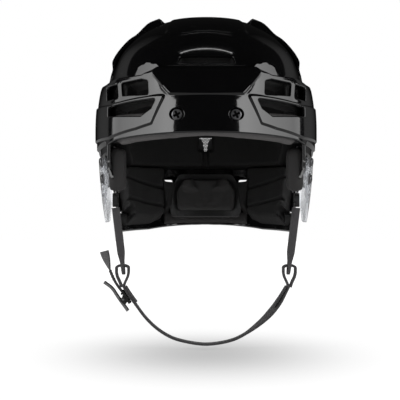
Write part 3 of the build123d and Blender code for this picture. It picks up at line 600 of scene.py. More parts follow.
def closed_wall(name, front, back, faces, material, smooth_angle=50):
    """A wall between two sheets that have the same triangles."""
    count = len(front)
    walls = [(b, a, a + count, b + count) for a, b in open_edges(faces)]
    everything = faces.tolist() + (faces[:, ::-1] + count).tolist() + walls
    return piece(name, np.vstack([front, back]), everything, material, smooth_angle)


# %% The skin function
map_size = 120.0  # about the form's radius, which turns distances between directions into millimetres
map_reach = math.radians(152)
edge_shares = (0.35, 1.0, 1.5)
step_shares = (-0.8, -0.5, -0.2, 0.2, 0.5, 0.8)
edge_step, panel_step = 1.5, 2.0
crown_starts = 35.0


def fill_points(spacing):
    """Directions that are evenly spaced over the form."""
    rings = []
    step = spacing * 0.87 / map_size
    for i in range(int(map_reach / step)):
        polar = (i + 0.5) * step
        count = max(3, round(2 * math.pi * map_size * math.sin(polar) / spacing))
        turn = (np.arange(count) + 0.5 * (i % 2)) * 2 * math.pi / count
        ring = np.sin(polar) * np.array([np.cos(turn), np.sin(turn)])
        rings.append(np.vstack([ring, np.full(count, np.cos(polar))]).T)
    return np.vstack(rings)


def skin(name, loop, outside, inside, material, holes=(), raised=(), sunk=(), back=False, spacing=3.0, lip=1.2):
    """A closed wall on the form between two distances, inside a loop of points and round its holes. raised
    lifts both faces inside an outline, sunk lowers only the inner one: kind, outline, height and width."""

    def place(kind, outline):
        return from_top(outline, outside) if kind == "top" else from_wrap(outline, outside, back)

    lines, border = [loop], [loop]
    run = np.roll(loop, -1, 0) - np.roll(loop, 1, 0)
    run /= np.linalg.norm(run, axis=1)[:, None]
    inwards = np.cross(run, loop / np.linalg.norm(loop, axis=1)[:, None])
    inwards *= np.where(depth_in(flat(loop + inwards * 0.5), flat(loop)) > 0, 1, -1)[:, None]
    lines += [loop + inwards * share * lip for share in edge_shares]
    for kind, outline in holes:
        outline = resample(outline, edge_step)
        border.append(place(kind, outline))
        lines += [border[-1]] + [place(kind, grown(outline, share * lip)) for share in edge_shares]
    changes = [(kind, resample(outline, panel_step), *rest) for kind, outline, *rest in [*raised, *sunk]]
    for kind, outline, height, width in changes:
        lines += [place(kind, grown(outline, share * width)) for share in step_shares]
    lines = [flat(line) for line in lines]
    tree = tree_of(unflat(np.vstack(lines)) * map_size)
    fill = fill_points(spacing)
    fill = fill[depth_in(flat(fill), lines[0]) > 0]
    fill = fill[[tree.find(point * map_size)[2] > 0.55 * spacing for point in fill]]
    spots, faces = triangulated(lines, [flat(fill)], 1e-7)
    centre = spots[faces].mean(axis=1)
    keep = depth_in(centre, lines[0]) > 0
    for hole in border[1:]:
        keep &= depth_in(centre, flat(hole)) < 0
    used, faces = np.unique(faces[keep], return_inverse=True)
    faces = faces.reshape(-1, 3)
    direction = unflat(spots[used])
    base = on_form(direction, outside)
    lift, dig = np.zeros(len(base)), np.zeros(len(base))
    wrap = to_wrap(base, back)
    for i, (kind, outline, height, width) in enumerate(changes):
        where = base[:, :2] if kind == "top" else wrap
        near = np.all((where > outline.min(0) - width) & (where < outline.max(0) + width), axis=1)
        if kind == "top":
            near &= base[:, 2] > crown_starts
        amount = height(where[near]) if callable(height) else height
        amount = amount * smooth(depth_in(where[near], outline) / width + 0.5)
        if i < len(raised):
            lift[near] += amount
        else:
            dig[near] = np.minimum(dig[near], -amount)
    rim_tree = tree_of(np.vstack([resample(line, 0.8) for line in border]))
    gap = np.array([rim_tree.find(point)[2] for point in base])
    near_edge = 1 - np.clip(gap / lip, 0, 1)
    drop = 0.8 * lip * (1 - np.sqrt(1 - near_edge**2))
    outer = on_form(direction, outside + lift - drop)
    inner = on_form(direction, inside + lift - dig + (drop if lip > 2 else 0))
    normal = np.cross(base[faces[:, 1]] - base[faces[:, 0]], base[faces[:, 2]] - base[faces[:, 0]])
    if np.sum(normal * base[faces[:, 0]], axis=1).mean() < 0:
        faces = faces[:, ::-1]
    return closed_wall(name, outer, inner, faces, material)


def wrap_skin(name, outline, outside, inside, material, back=True, **more):
    """A skin inside an outline in strip coordinates."""
    loop = from_wrap(resample(outline, edge_step), outside, back)
    return skin(name, loop, outside, inside, material, back=back, **more)


def mirrored(source, name):
    """A copy of a piece on the wearer's other side."""
    mesh = source.data.copy()
    mesh.name = name
    for vertex in mesh.vertices:
        vertex.co.x = -vertex.co.x
    mesh.flip_normals()
    return placed(name, mesh)


# %% [markdown]
# ## Front shell
# The front half is a dome with a wide band round its lower part. The band steps out along the ledge,
# and carries a raised panel on each side and one over the brow. Three vents open in each side and a
# long slot above the brow panel. Behind the temples it reaches down as the tab that the ear guard and
# the straps are fixed to.

# %% Vents and panels of the front shell
brow_slot = end_outline((-28, 63), (28, 63), (25, 69.4), (-25, 69.4))
inner_vent = end_outline((53.2, 32.5), (53.2, 44), (59, 46), (78.3, 44), (78.3, 32.5))
outer_vent = end_outline((82.5, 31), (82.5, 43.4), (94.2, 42.2), (94.2, 29.8))
lower_vent = end_outline((45.8, 27.9), (91.6, 23), (91.6, 14.9), (59.6, 13), (50, 19.8))
side_panel = end_outline((38, 31), (50, 6), (64, 2), (91, -5)) + side_outline((13, -8), (13, 24.8))
side_panel += end_outline((91, 24.8), (44.7, 31))
brow_panel = end_outline((-36, 60), (36, 60), (49, 50), (33.5, 31.5), (-33.5, 31.5), (-49, 50))
ledge = end_outline((43, 55), (50, 51.5), (60, 50), (70, 49.5), (80, 49.3), (88, 48.6), (95, 46.5))
ledge += side_outline((18, 46), (18, -60))
band = ledge + [(-u, z) for u, z in reversed(ledge)]
tab = side_outline((-64, -9), (-64, -70), (-8, -70), (-8, -16))
vents = [("wrap", rounded(brow_slot, 2))]
for vent in (inner_vent, outer_vent, lower_vent):
    vents += [("wrap", rounded(half, 1.5)) for half in both(vent)]

# %% The front shell
front_path = [(-160, -0.4), (-83, -7.4), (-67, -11), (-63, -44), (-58, -48), (-24, -54), (-18, -52), (-12, -22)]
front_path += [(-6, -12), (28, -10), (33, -14), (34, -27), (37, -30), (56, -30), (56, 140)]


def hood(where):
    """The brow panel is flatter than the band round it, so it stands out more towards its sides."""
    return 0.8 + 4.2 * np.minimum(np.abs(where[:, 0]) / 46, 1.1) ** 2


def shoulder(where):
    """The band stands upright to its top edge, where the form already leans in, and so mirrors a panel."""
    turn = np.abs(where[:, 0]) / wrap_radius
    side = smooth((turn - 0.28) / 0.12) * smooth((1.25 - turn) / 0.4)
    upright = 5.0 * side * np.clip((where[:, 1] - 22) / 34, 0, 1.15) ** 2
    return 4.2 + upright - waist(turn, where[:, 1]) * smooth((1.15 - turn) / 0.4)


def cheek(where):
    """A swelling above the ledge that leans back less than the dome does, and so shows as a light patch."""
    return 4.6 * np.clip((where[:, 1] - 50) / 12, 0, 1.2)


def lean(where):
    """The tab leans in towards the temple as it goes down."""
    return -2.4 - 5.0 * smooth((-16 - where[:, 1]) / 24)


cheek_patch = end_outline((43, 57.5), (56, 54.2), (73, 51.0), (66, 59.5), (56, 62.8), (46, 61))
crown_step = [(-38, -72), (-33, -84), (-20, -88), (20, -88), (33, -84), (38, -72), (32, 8), (-32, 8)]
raised = [("wrap", rounded(band, 4), shoulder, 2.0), ("wrap", rounded(brow_panel, 3), hood, 1.6)]
raised += [("wrap", rounded(half, 4), cheek, 1.6) for half in both(cheek_patch)]
screw_x, screw_z = 27.0, 14.0


def circle(centre, radius, count=28):
    turns = np.arange(count) * 2 * math.pi / count
    return np.column_stack([centre[0] + radius * np.cos(turns), centre[1] + radius * np.sin(turns)])


raised += [("wrap", half, -3.5, 0.8) for half in both(circle(seen_end(screw_x, screw_z), 5.7))]
raised.append(("top", rounded(crown_step, 6), 1.3, 3.0))
raised += [("wrap", rounded(half, 2), 1.5, 1.8) for half in both(side_panel)]
raised += [("wrap", rounded(half, 3), lean, 3.0) for half in both(tab)]
front_loop = middle_loop(front_path, -3)
front_shell = skin("front_shell_skin", front_loop, -3.0, -6.0, gloss.material, vents, raised, spacing=2.6)

# %% [markdown]
# ## Rear shell
# The rear half slides over the front one to set the size, so it is a little larger and its front
# edge shows as a bright rim. Two ridges run back from that edge like low horns, and a centre panel
# stands between them.

# %% The rear shell
ridge = [(-72, 9.7), (-43.0, 9.7), (-35, 69.5), (-55, 78)]
centre_panel = [(-35, 14), (35, 14), (25.6, 111), (-25.6, 111)]
rear_path = [(8, 140), (8, 62), (22, 46), (22, -6), (50, -8), (57, -30), (54, -98), (100, -96), (153, -87)]


def horn(where):
    """The ridges stand up at their inner edges and fade out towards the sides."""
    return 6.3 * smooth((76 - np.abs(where[:, 0]) - np.maximum(where[:, 1], 0) * 0.3) / 20)


def flange(where):
    """The front edge of the rear half stands proud of the front half, down to just above the ledge."""
    return 2.8 * smooth((where[:, 1] - 66) / 8) * smooth((110 - where[:, 1]) / 16)


rim_strip = np.array([(140, 60), (196, 60), (196, 112), (140, 112)])
rear_raised = [("top", rounded(half, 3), horn, 4.0) for half in both(ridge)]
rear_raised += [("wrap", half, flange, 8.0) for half in both(rim_strip)]
rear_raised.append(("top", rounded(centre_panel, 4), 2.2, 1.6))
crown_vent = [(-21.3, 27.8), (-10.6, 27.8), (-10.6, 58.4), (-19.2, 61)]
rear_vents = [("top", rounded(half, 2.5)) for half in both(crown_vent)]
back_vent = end_outline((-38.3, 37.2), (-21.3, 37.2), (-21.3, 62), (-32, 64.5))
low_vent = end_outline((-45.8, -50.2), (-36.2, -50.2), (-36.2, -42.8), (-45.8, -42.8))
middle_vent = end_outline((-8.2, -12.4), (8.2, -12.4), (8.2, 4.5), (-8.2, 4.5))
for vent in (back_vent, low_vent):
    rear_vents += [("wrap", rounded(half, 2)) for half in both(vent)]
rear_vents.append(("wrap", rounded(middle_vent, 2)))
eyelet_hole = circle(seen_side(62, -84, True), 7.0)
rear_vents += [("wrap", half) for half in both(eyelet_hole)]
rear_loop = middle_loop(rear_path, 0.4)
rear_shell = skin("rear_shell_skin", rear_loop, 0.4, -2.6, gloss.material, rear_vents, rear_raised, (), True, 2.8)

# %% [markdown]
# ## Liners
# Behind the shell is moulded foam about 15 mm thick. Its vents line up with the shell's, and the
# inner face is cut by grooves that let it bend and let air through. A notch on each side leaves room
# for the latch's nut as the rear half slides.

# %% Front liner
liner_path = [(-160, 20.5), (-64, 20.5), (-64, 2.5), (-16, 2.5), (-8, -6.2), (50, -6.2)]
liner_path += [(50, 4.2), (28, 4.2), (28, 19.8), (50, 19.8), (50, 140)]
groove = (4.0, 2.0)  # depth and width
channel = [(-2, -112), (2, -112), (2, 48), (-2, 48)]
wide_channel = [(-40, -90), (-36, -90), (-30, 40), (-34, 40)]
front_sunk = [("top", line, *groove) for line in [channel, *both(wide_channel)]]
front_loop = middle_loop(liner_path, -6.5)
front_liner = skin("front_liner_foam", front_loop, -6.5, -20.9, foam_black, vents, (), front_sunk, False, 4.0, 3.0)

# %% Rear liner
rear_liner_path = [(58, 140), (58, -5), (70, -31), (153, -31)]
back_channel = [(-2.5, -31), (2.5, -31), (2.5, 116), (-2.5, 116)]
rear_sunk = [("wrap", back_channel, *groove)]
liner_vents = rear_vents[:4] + rear_vents[6:7]  # the crown's, the back's and the middle one
rear_loop = middle_loop(rear_liner_path, -3)
rear_liner = skin("rear_liner_foam", rear_loop, -3.0, -19.8, foam_black, liner_vents, (), rear_sunk, True, 4.0, 3.0)

# %% Padding along the rear shell's lower edge
hem_outline = end_outline((-46.5, -79), (46.5, -79), (46.5, -91), (24, -89.5), (-24, -89.5), (-46.5, -91))
hem = wrap_skin("rear_hem_foam", rounded(hem_outline, 2), -3.2, -7.5, pad_vinyl, lip=2.2)

# %% Side liners
side_liner_outline = side_outline((59.5, -33), (60.5, -92), (100, -90.5), back=True)
side_liner_outline += end_outline((50, -85), (50, -33))
groove_one = side_outline((58, -43), (126, -60), (126, -63), (58, -46), back=True)
groove_two = side_outline((58, -68), (126, -81), (126, -84), (58, -71), back=True)
side_liner = wrap_skin(
    "side_liner_foam_left", rounded(side_liner_outline, 4), -3.0, -17.4, foam_black, holes=[("wrap", eyelet_hole)],
    sunk=[("wrap", line, *groove) for line in (groove_one, groove_two)], spacing=4.0, lip=2.8,
)


def joined(name, *made):
    """One piece from several, with the first one's material."""
    points, faces, deep, count = [], [], [], 0
    for item in made:
        values = np.zeros(len(item.data.vertices))
        if "deep" in item.data.attributes:
            item.data.attributes["deep"].data.foreach_get("value", values)
        deep.append(values)
        points += [np.array(vertex.co) * 1000 for vertex in item.data.vertices]
        faces += [tuple(count + corner for corner in face.vertices) for face in item.data.polygons]
        count += len(item.data.vertices)
    whole = piece(name, points, faces, made[0].data.materials[0])
    whole.data.attributes.new("deep", "FLOAT", "POINT").data.foreach_set("value", np.concatenate(deep))
    for item in made:
        mesh = item.data
        bpy.data.objects.remove(item)
        bpy.data.meshes.remove(mesh)
    return whole


pillar_outline = rounded(end_outline((54, -44), (50, -49.5), (36.5, -50.5), (42.5, -80), (48.5, -81)), 2.5)
pillar = wrap_skin("pillar", pillar_outline, -3.2, -19.5, foam_black, spacing=2.5, lip=2.6)
side_liner = joined("side_liner_foam_left", side_liner, pillar)

# %% [markdown]
# ## Ear guards
# Each guard is a clear sheet screwed to the tab, with small holes over the ear.

# %% Ear guards
guard_outline = side_outline((-53.5, -23.6), (41.7, -24.8), (46.6, -37.2), (44.5, -67))
guard_outline += side_outline((22.2, -86.8), (-7, -86.8), (-34.8, -69.4), (-54.2, -50.8))
hole_y, hole_z, hole_pitch = 12.5, -52.0, 11.0
guard_holes = []
for column in (-1, 0, 1):
    for row in (-0.5, 0.5):
        place = seen_side(hole_y + hole_pitch * column, hole_z + hole_pitch * row)
        guard_holes.append(("wrap", circle(place, 3.5, 20)))
guard = wrap_skin(
    "ear_guard_sheet_left", rounded(guard_outline, 9), -0.1, -2.1, clear.material, False, holes=guard_holes, lip=0.8
)

# %% [markdown]
# ## Vent mesh
# The patch in the rear liner's vent is a thin sheet with fine punched holes, so only a little of the
# white background comes through it. The holes fill a field that widens upwards.

# %% Vent mesh
def plate(name, outline, holes, y, thickness, material):
    """A flat sheet across Y with round holes in it: the outline and holes are X and Z."""
    spots, faces = triangulated([np.asarray(outline, float)] + holes, [], 1e-6)
    middle = spots[faces].mean(axis=1)
    for hole in holes:
        centre = hole.mean(axis=0)
        faces = faces[np.linalg.norm(middle - centre, axis=1) > np.linalg.norm(hole[0] - centre) * 0.9]
        middle = spots[faces].mean(axis=1)
    front = np.column_stack([spots[:, 0], np.full(len(spots), y - thickness / 2), spots[:, 1]])
    return closed_wall(name, front, front + (0, thickness, 0), faces, material, 30)


low, high = (np.array(corner) * 1000 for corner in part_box("rear_vent_mesh"))
mesh_outline = [(low[0], low[2]), (high[0], low[2]), (high[0], high[2]), (low[0], high[2])]
mesh_rows, mesh_pitch, mesh_radius = 10, 1.5, 0.42
mesh_holes = []
for row in range(mesh_rows):
    odd = row % 2
    for column in range(mesh_rows + odd):
        x = (column - 4.5 - 0.5 * odd) * mesh_pitch
        z = (low[2] + high[2]) / 2 + (row - 4.5) * mesh_pitch
        if abs(x) < 1.6 + 0.055 * row**2:
            mesh_holes.append(circle((x, z), mesh_radius, 8))
vent_mesh = plate("rear_vent_mesh_sheet", mesh_outline, mesh_holes, (low[1] + high[1]) / 2, 0.9, mesh_pale)

# %% [markdown]
# ## Pads
# The brow band, temple pads, crown pad and occipital pad are soft foam under a thin cover.

# %% Pad blanks
brow_half = side_outline((-67.4, 19), (-67.4, -6.2), (-83.4, -13.5))
brow_outline = [*brow_half[1::-1], *[(-u, z) for u, z in brow_half], (0, -6.5), brow_half[2]]
brow_pad = wrap_skin("brow_pad_foam", rounded(brow_outline, 4), -4.2, -15.8, foam_grey, False, spacing=3.5, lip=3.5)
crown_outline = rounded([(-29.8, -47.3), (29.8, -47.3), (36.2, 7), (29.8, 47.3), (-29.8, 47.3), (-36.2, 7)], 9)
crown_grooves = [("top", [(x - 2, -60), (x + 2, -60), (x + 2, 60), (x - 2, 60)], 3.0, 2.0) for x in (-16, 16)]
crown_loop = from_top(resample(crown_outline, edge_step), -21.6)
crown_pad = skin("crown_pad_foam", crown_loop, -21.6, -27.0, pad_vinyl, sunk=crown_grooves, lip=2.2)
cradle_outline = end_outline((-42.6, -83), (42.6, -83), (44.7, -55.8), (32, -37.2), (-32, -37.2), (-44.7, -55.8))
cradle = wrap_skin("cradle_frame", rounded(cradle_outline, 6), -13.4, -16.4, plastic_black, lip=1.0)
back_outline = end_outline((-36.2, -78), (36.2, -78), (38.3, -55.8), (27.7, -42.2), (-27.7, -42.2), (-38.3, -55.8))
pad_slot = rounded(end_outline((-30, -43.5), (-17.5, -43.5), (-15.5, -51), (-9.5, -56), (-24, -56.5), (-33, -52)), 2)
lower_lip = end_outline((-31, -73.5), (0, -75.5), (31, -73.5), (31, -71.5), (0, -73.5), (-31, -71.5))
back_pad = wrap_skin(
    "occipital_pad_foam", rounded(back_outline, 6), -16.8, -23.2, pad_vinyl, spacing=2.2, lip=3.0,
    raised=[("wrap", half, -4.2, 2.0) for half in both(pad_slot)], sunk=[("wrap", lower_lip, 2.0, 1.6)],
)


# %% Temple pads
def cushion(name, middle, size, depth, material):
    """A crowned block seen from the side, standing on the tab and rounded towards the head."""
    rows = []
    corners = rounded([(-1, -1), (1, -1), (1, 1), (-1, 1)], 0.5)
    for share, draw in ((0, 0.5), (0.15, 0.1), (0.45, 0), (0.75, 0.15), (0.92, 0.42), (1, 0.8)):
        half_y, half_z = size[0] / 2 - draw * 6, size[1] / 2 - draw * 6
        x = middle[0] - share * depth
        rows.append([(x, middle[1] + a * half_y, middle[2] + b * half_z) for a, b in corners])
    return lofted(name, rows, material, flip=True)


temple_pad = cushion("temple_pad_foam_left", (94.0, -48.5, -34.5), (29, 44), 17.0, pad_vinyl)

# %% [markdown]
# ## Cushions
# The pads are foam sewn into a thin cover, and the cover is a little too big for the foam's corners, so
# it puffs between its seams. A cloth simulation gives that: the blank is remeshed, drawn in slightly,
# and blown up from inside for twenty frames, and no point may move further than a given distance.

# %% Cloth for the pads
def plain_copy(source, name, *modifiers):
    """The mesh that an object has with these modifiers on it."""
    made = placed(name, source.data.copy())
    for kind, settings in modifiers:
        modifier = made.modifiers.new(kind.lower(), kind)
        for key, value in settings.items():
            setattr(modifier, key, value)
    mesh = bpy.data.meshes.new_from_object(evaluated(made))
    bpy.data.objects.remove(made)
    return mesh


def coordinates(mesh):
    flat_list = np.zeros(3 * len(mesh.vertices))
    mesh.vertices.foreach_get("co", flat_list)
    return flat_list.reshape(-1, 3)


blow_frames = 20
drawn_in = 0.0007  # metres that the blank shrinks by before it is blown up


def puffed(made, voxel, limit=1.2):
    """Blows a pad up as cloth. voxel and limit are in millimetres."""
    mesh = plain_copy(made, "blank", ("REMESH", {"mode": "VOXEL", "voxel_size": voxel / 1000}))
    normals = np.array([vertex.normal for vertex in mesh.vertices])
    start = coordinates(mesh) - normals * drawn_in
    mesh.vertices.foreach_set("co", start.ravel())
    blank = placed("blank", mesh)
    cloth = blank.modifiers.new("cloth", "CLOTH")
    cloth.settings.use_pressure = True
    cloth.settings.uniform_pressure_force = 4.0
    cloth.settings.effector_weights.gravity = 0
    cloth.settings.tension_stiffness = 12
    cloth.settings.bending_stiffness = 0.4
    cloth.point_cache.frame_start, cloth.point_cache.frame_end = 1, blow_frames
    for frame_number in range(1, blow_frames + 1):
        bpy.context.scene.frame_set(frame_number)
    blown = coordinates(evaluated(blank).to_mesh())
    move = blown - start
    size = np.linalg.norm(move, axis=1)[:, None]
    blown = start + move * np.minimum(1, limit / 1000 / np.maximum(size, 1e-9))
    blank.modifiers.clear()
    bpy.context.scene.frame_set(1)
    blank.data.vertices.foreach_set("co", blown.ravel())
    material = made.data.materials[0]
    made.data = plain_copy(blank, "fine", ("SUBSURF", {"levels": 1}))
    painted(made.data, material)
    made.data.polygons.foreach_set("use_smooth", [True] * len(made.data.polygons))
    bpy.data.objects.remove(blank)
    print(made.name, "moved", round(float(size.max()) * 1000, 2), "mm at most")


for made, voxel in ((temple_pad, 3.0), (crown_pad, 4.0), (brow_pad, 4.0)):
    puffed(made, voxel)
puffed(back_pad, 2.2, limit=0.5)

# %% [markdown]
# ## Many of one kind
# Screws, rivets and stitches repeat. A small Geometry Nodes group puts one object on every point of a
# mesh, turned by an attribute, then realises the instances and gives them their material.

# %% The scatter group
scatter = bpy.data.node_groups.new("scatter", "GeometryNodeTree")
for socket_name, way, kind in (
    ("Geometry", "INPUT", "NodeSocketGeometry"), ("Piece", "INPUT", "NodeSocketObject"),
    ("Finish", "INPUT", "NodeSocketMaterial"), ("Geometry", "OUTPUT", "NodeSocketGeometry"),
):
    scatter.interface.new_socket(socket_name, in_out=way, socket_type=kind)


def scatter_node(kind, settings={}, **inputs):
    node = scatter.nodes.new(kind)
    for name, value in settings.items():
        setattr(node, name, value)
    for name, value in inputs.items():
        if isinstance(value, bpy.types.NodeSocket):
            scatter.links.new(value, node.inputs[name])
        else:
            node.inputs[name].default_value = value
    return node.outputs


given = scatter_node("NodeGroupInput")
turn = scatter_node("GeometryNodeInputNamedAttribute", {"data_type": "FLOAT_VECTOR"}, Name="turn")
turn = scatter_node("FunctionNodeEulerToRotation", Euler=turn["Attribute"])
one = scatter_node("GeometryNodeObjectInfo", Object=given["Piece"])
spread = {"Points": given["Geometry"], "Instance": one["Geometry"], "Rotation": turn["Rotation"]}
many = scatter_node("GeometryNodeInstanceOnPoints", **spread)
many = scatter_node("GeometryNodeRealizeInstances", Geometry=many["Instances"])
many = scatter_node("GeometryNodeSetMaterial", Geometry=many["Geometry"], Material=given["Finish"])
scatter_node("NodeGroupOutput", Geometry=many["Geometry"])


def scattered(name, source, frames, material):
    """One piece made of copies of the source: frames are a position in millimetres, an x and a z direction."""
    mesh = bpy.data.meshes.new(name)
    mesh.from_pydata([tuple(np.asarray(position) / 1000) for position, x, z in frames], [], [])
    turns = mesh.attributes.new("turn", "FLOAT_VECTOR", "POINT")
    for entry, (position, x, z) in zip(turns.data, frames):
        z = Vector(z).normalized()
        x = Vector(x)
        x = (x - z * x.dot(z)).normalized()
        entry.vector = Matrix((x, z.cross(x), z)).transposed().to_euler()
    made = placed(name, mesh)
    modifier = made.modifiers.new("scatter", "NODES")
    modifier.node_group = scatter
    values = {"Piece": source, "Finish": material}
    for item in scatter.interface.items_tree:
        if item.in_out == "INPUT" and item.name in values:
            modifier[item.identifier] = values[item.name]
    made.data = bpy.data.meshes.new_from_object(evaluated(made))
    made.modifiers.clear()
    painted(made.data, material)
    bpy.data.meshes.remove(mesh)
    return made


# %% [markdown]
# ## Screws and rivets
# The accessory screws and the guard and latch screws have low heads with a crossed recess that was
# punched in, and the strap rivets have plain domed caps.

# %% Heads
recess_slope = 0.22  # how far the punched recess's walls lean in


def head(name, radius, height, dome, recess, material):
    """A round head whose underside is at zero, with a crossed recess if one is asked for."""
    rings = [circle((0, 0), radius * share, 40) for share in (1, 0.97, 0.9, 0.8)]
    fill = [circle((0, 0), radius * share, max(6, round(40 * share))) for share in np.linspace(0.08, 0.74, 9)]
    arm, half = radius * 0.72, radius * 0.22
    quarter, turned = np.array([(half, half), (arm, half), (arm, -half)]), np.array([(0, -1), (1, 0)])
    cross = np.vstack([quarter @ np.linalg.matrix_power(turned, i) for i in range(4)])
    if recess:
        rings += [cross, grown(resample(cross, 0.4), -recess_slope)]
        fill = [ring[np.abs(depth_in(ring, cross)) > 0.12] for ring in fill]
    spots, faces = triangulated(rings, fill, 1e-6)
    faces = faces[np.linalg.norm(spots[faces].mean(axis=1), axis=1) < radius]
    far = np.linalg.norm(spots, axis=1) / radius
    top = height + dome * (1 - far**2) - 0.45 * height * np.clip((far - 0.8) / 0.2, 0, 1) ** 2
    if recess:
        top = top - recess * smooth(depth_in(spots, cross) / recess_slope)
    points = np.column_stack([spots, top])
    rim = open_edges(faces)
    low = {a: len(points) + i for i, (a, b) in enumerate(rim)}
    points = np.vstack([points, [(spots[a][0], spots[a][1], -0.3 * recess) for a, b in rim]])
    walls = [(b, a, low[a], low[b]) for a, b in rim]
    after = dict(rim)
    loop = [rim[0][0]]
    while after[loop[-1]] != loop[0]:
        loop.append(after[loop[-1]])
    base = tuple(low[a] for a in reversed(loop))
    made = piece(name, points, faces.tolist() + walls + [base], material, 35)
    # The attribute deep marks the recess, which the finish paints darker as shade and makes rougher.
    dark = made.data.attributes.new("deep", "FLOAT", "POINT")
    if recess:
        inside = smooth(depth_in(spots, cross) / recess_slope + 0.5)
        dark.data.foreach_set("value", np.concatenate([inside, np.zeros(len(points) - len(spots))]))
    return made


def side_frame(y, z, out):
    """A place on the form's side at Y and Z, the direction along it and the direction outwards."""

    def at(y, z):
        wide, long = sizes_at(z, out)
        return np.array([wide * math.sqrt(1 - (y / long) ** 2), y, z])

    along = at(y + 0.5, z) - at(y - 0.5, z)
    up = at(y, z + 0.5) - at(y, z - 0.5)
    outwards = np.cross(along, up)
    return at(y, z), along, outwards / np.linalg.norm(outwards)


def on_both(frames):
    """The frames and their mirror images."""
    flip = np.array([-1, 1, 1])
    return frames + [(position * flip, np.asarray(x) * flip, np.asarray(z) * flip) for position, x, z in frames]


def moved(frame, out):
    return frame[0] + frame[2] * out, frame[1], frame[2]


big_head = head("big_head", 5.0, 1.7, 0.3, 1.9, screw_black)
screw_y = -131.8
front_frames = [
    (np.array([x, screw_y, screw_z]), (1, math.copysign(0.35, x), 0.5), (0, -1, 0)) for x in (-screw_x, screw_x)
]
front_screws = scattered("front_screw_heads", big_head, front_frames, screw_black)
guard_head = head("guard_head", 4.0, 1.7, 0.3, 1.0, screw_black)
washer = head("washer", 5.6, 0.9, 0.0, 0, screw_black)
guard_frames = [moved(side_frame(-45, z, -2.4), 3.35) for z in (-27, -43.5)]
guard_screws = joined(
    "guard_screw_heads",
    scattered("guard_washers", washer, on_both([moved(frame, -0.9) for frame in guard_frames]), screw_black),
    scattered("guard_heads", guard_head, on_both(guard_frames), screw_black),
)
latch_head = head("latch_head", 2.75, 0.75, 0.1, 0.5, screw_black)
latch_y, latch_z = 36, 12
latch_x = side_frame(latch_y, latch_z, 0.4)[0][0] + 1.1
latch_frames = on_both([(np.array([latch_x, latch_y, latch_z]), (0, 1, 0), (1, 0, 0))])
latch_screws = scattered("latch_screw_heads", latch_head, latch_frames, screw_black)
cap = head("cap", 5.0, 0.8, 0.9, 0, steel)
# Each leg: its rivet's Y, the distance of the shell there, and its side of the slide.
legs = {"front": (-22, -2.4, 1), "rear": (45, -3.0, -1)}
rivet_z = -17
cap_frames = [moved(side_frame(y, rivet_z, grow), 0.3) for y, grow, side in legs.values()]
caps = scattered("strap_rivet_caps", cap, on_both(cap_frames), steel)
for source in (big_head, guard_head, washer, latch_head, cap):
    bpy.data.objects.remove(source)

# %% [markdown]
# ## Ear straps and loops
# Two legs of webbing run from rivets on the shell to a plastic slide, and from there a narrow loop
# hangs down that the chin strap is threaded on.

# %% Ear loops
slide_x, slide_z = 91.0, -71.3
foot_x, foot_z = 84.0, -129.2
loop_height = 57.9
loop_radius = 9.2  # of the fold at the foot, to the middle of the webbing


def half_turn(count):
    """Angles of a half circle, without its ends."""
    return np.linspace(0, math.pi, count)[1:-1]


def loop_line():
    tilt = math.atan2(slide_x - foot_x, slide_z - foot_z)
    rows = [(-loop_radius, z) for z in np.linspace(loop_height, 0, 16)]
    rows += [(-loop_radius * math.cos(a), -loop_radius * math.sin(a)) for a in half_turn(15)]
    rows += [(loop_radius, z) for z in np.linspace(0, loop_height, 16)]
    return np.array([(foot_x + math.sin(tilt) * z, strap_y + y, foot_z + math.cos(tilt) * z) for y, z in rows])


loop_points = loop_line()
pinch = 1 - 0.5 * smooth((-115 - loop_points[:, 2]) / 14)
ear_loop = strap("ear_loop_webbing_left", loop_points, 7.0, strap_thickness, across=(1, 0, 0), narrow=pinch)


# %% Ear strap legs
def leg(name, y, grow, side):
    """One leg of webbing from its rivet to the slide."""
    position, along, outwards = side_frame(y, rivet_z, grow)
    anchor = position - outwards * 5.6
    foot = np.array([slide_x + side * 1.5, strap_y - side * 4.0, -56.7])
    run = foot - anchor
    foot[2] += 6.0 * abs(run[1]) / np.linalg.norm(run)
    run = foot - anchor
    start = anchor - run / np.linalg.norm(run) * 6.0
    line = [start + (foot - start) * t for t in np.linspace(0, 1, 14)]
    return strap(name, line, 12.0, strap_thickness, across=np.cross(run, outwards))


front_leg = leg("ear_strap_front_webbing_left", *legs["front"])
rear_leg = leg("ear_strap_rear_webbing_left", *legs["rear"])

# %% [markdown]
# ## Chin loops, folds and tail
# Each end of the chin strap is folded round the ear loop and sewn to itself. On the wearer's right a
# spare tail comes back up out of the buckle.

# %% Chin loops, folds and tail
def chin_loop_line():
    half, top, bottom = 6.1, -3.0, -8.0
    down = [(half, bottom), (5.2, -12), (2.2, -18.5), (1.0, -22.5)]
    rows = down[::-1] + [(half, top)]
    rows += [(half * math.cos(a), top + 2.4 * math.sin(a)) for a in half_turn(13)]
    rows += [(-half, top)] + [(-x, z) for x, z in down]
    return [(foot_x + x, strap_y, foot_z + z) for x, z in rows]


chin_loop = strap("chin_loop_webbing_left", chin_loop_line(), strap_width, 2.5)
tail_line = spline_points(tail_route)
tail_share = np.linspace(0, 1, len(tail_line))
tail_twist = 0.65 * smooth((tail_share - 0.62) / 0.38)
tail = strap("strap_tail_webbing", tail_line, strap_width, strap_thickness, twist=tail_twist)


def shifted(route, distance):
    """The route's points moved sideways, to the left of its run."""
    points = []
    for i, (x, z) in enumerate(route):
        (x0, z0), (x1, z1) = route[max(i - 1, 0)], route[min(i + 1, len(route) - 1)]
        run = math.hypot(x1 - x0, z1 - z0)
        points.append((x - (z1 - z0) / run * distance, z + (x1 - x0) / run * distance))
    return points


def shortened(route):
    (x0, z0), (x1, z1) = route[:2]
    share = 3.0 / math.hypot(x1 - x0, z1 - z0)
    return [(x0 + (x1 - x0) * share, z0 + (z1 - z0) * share), *route[1:]]


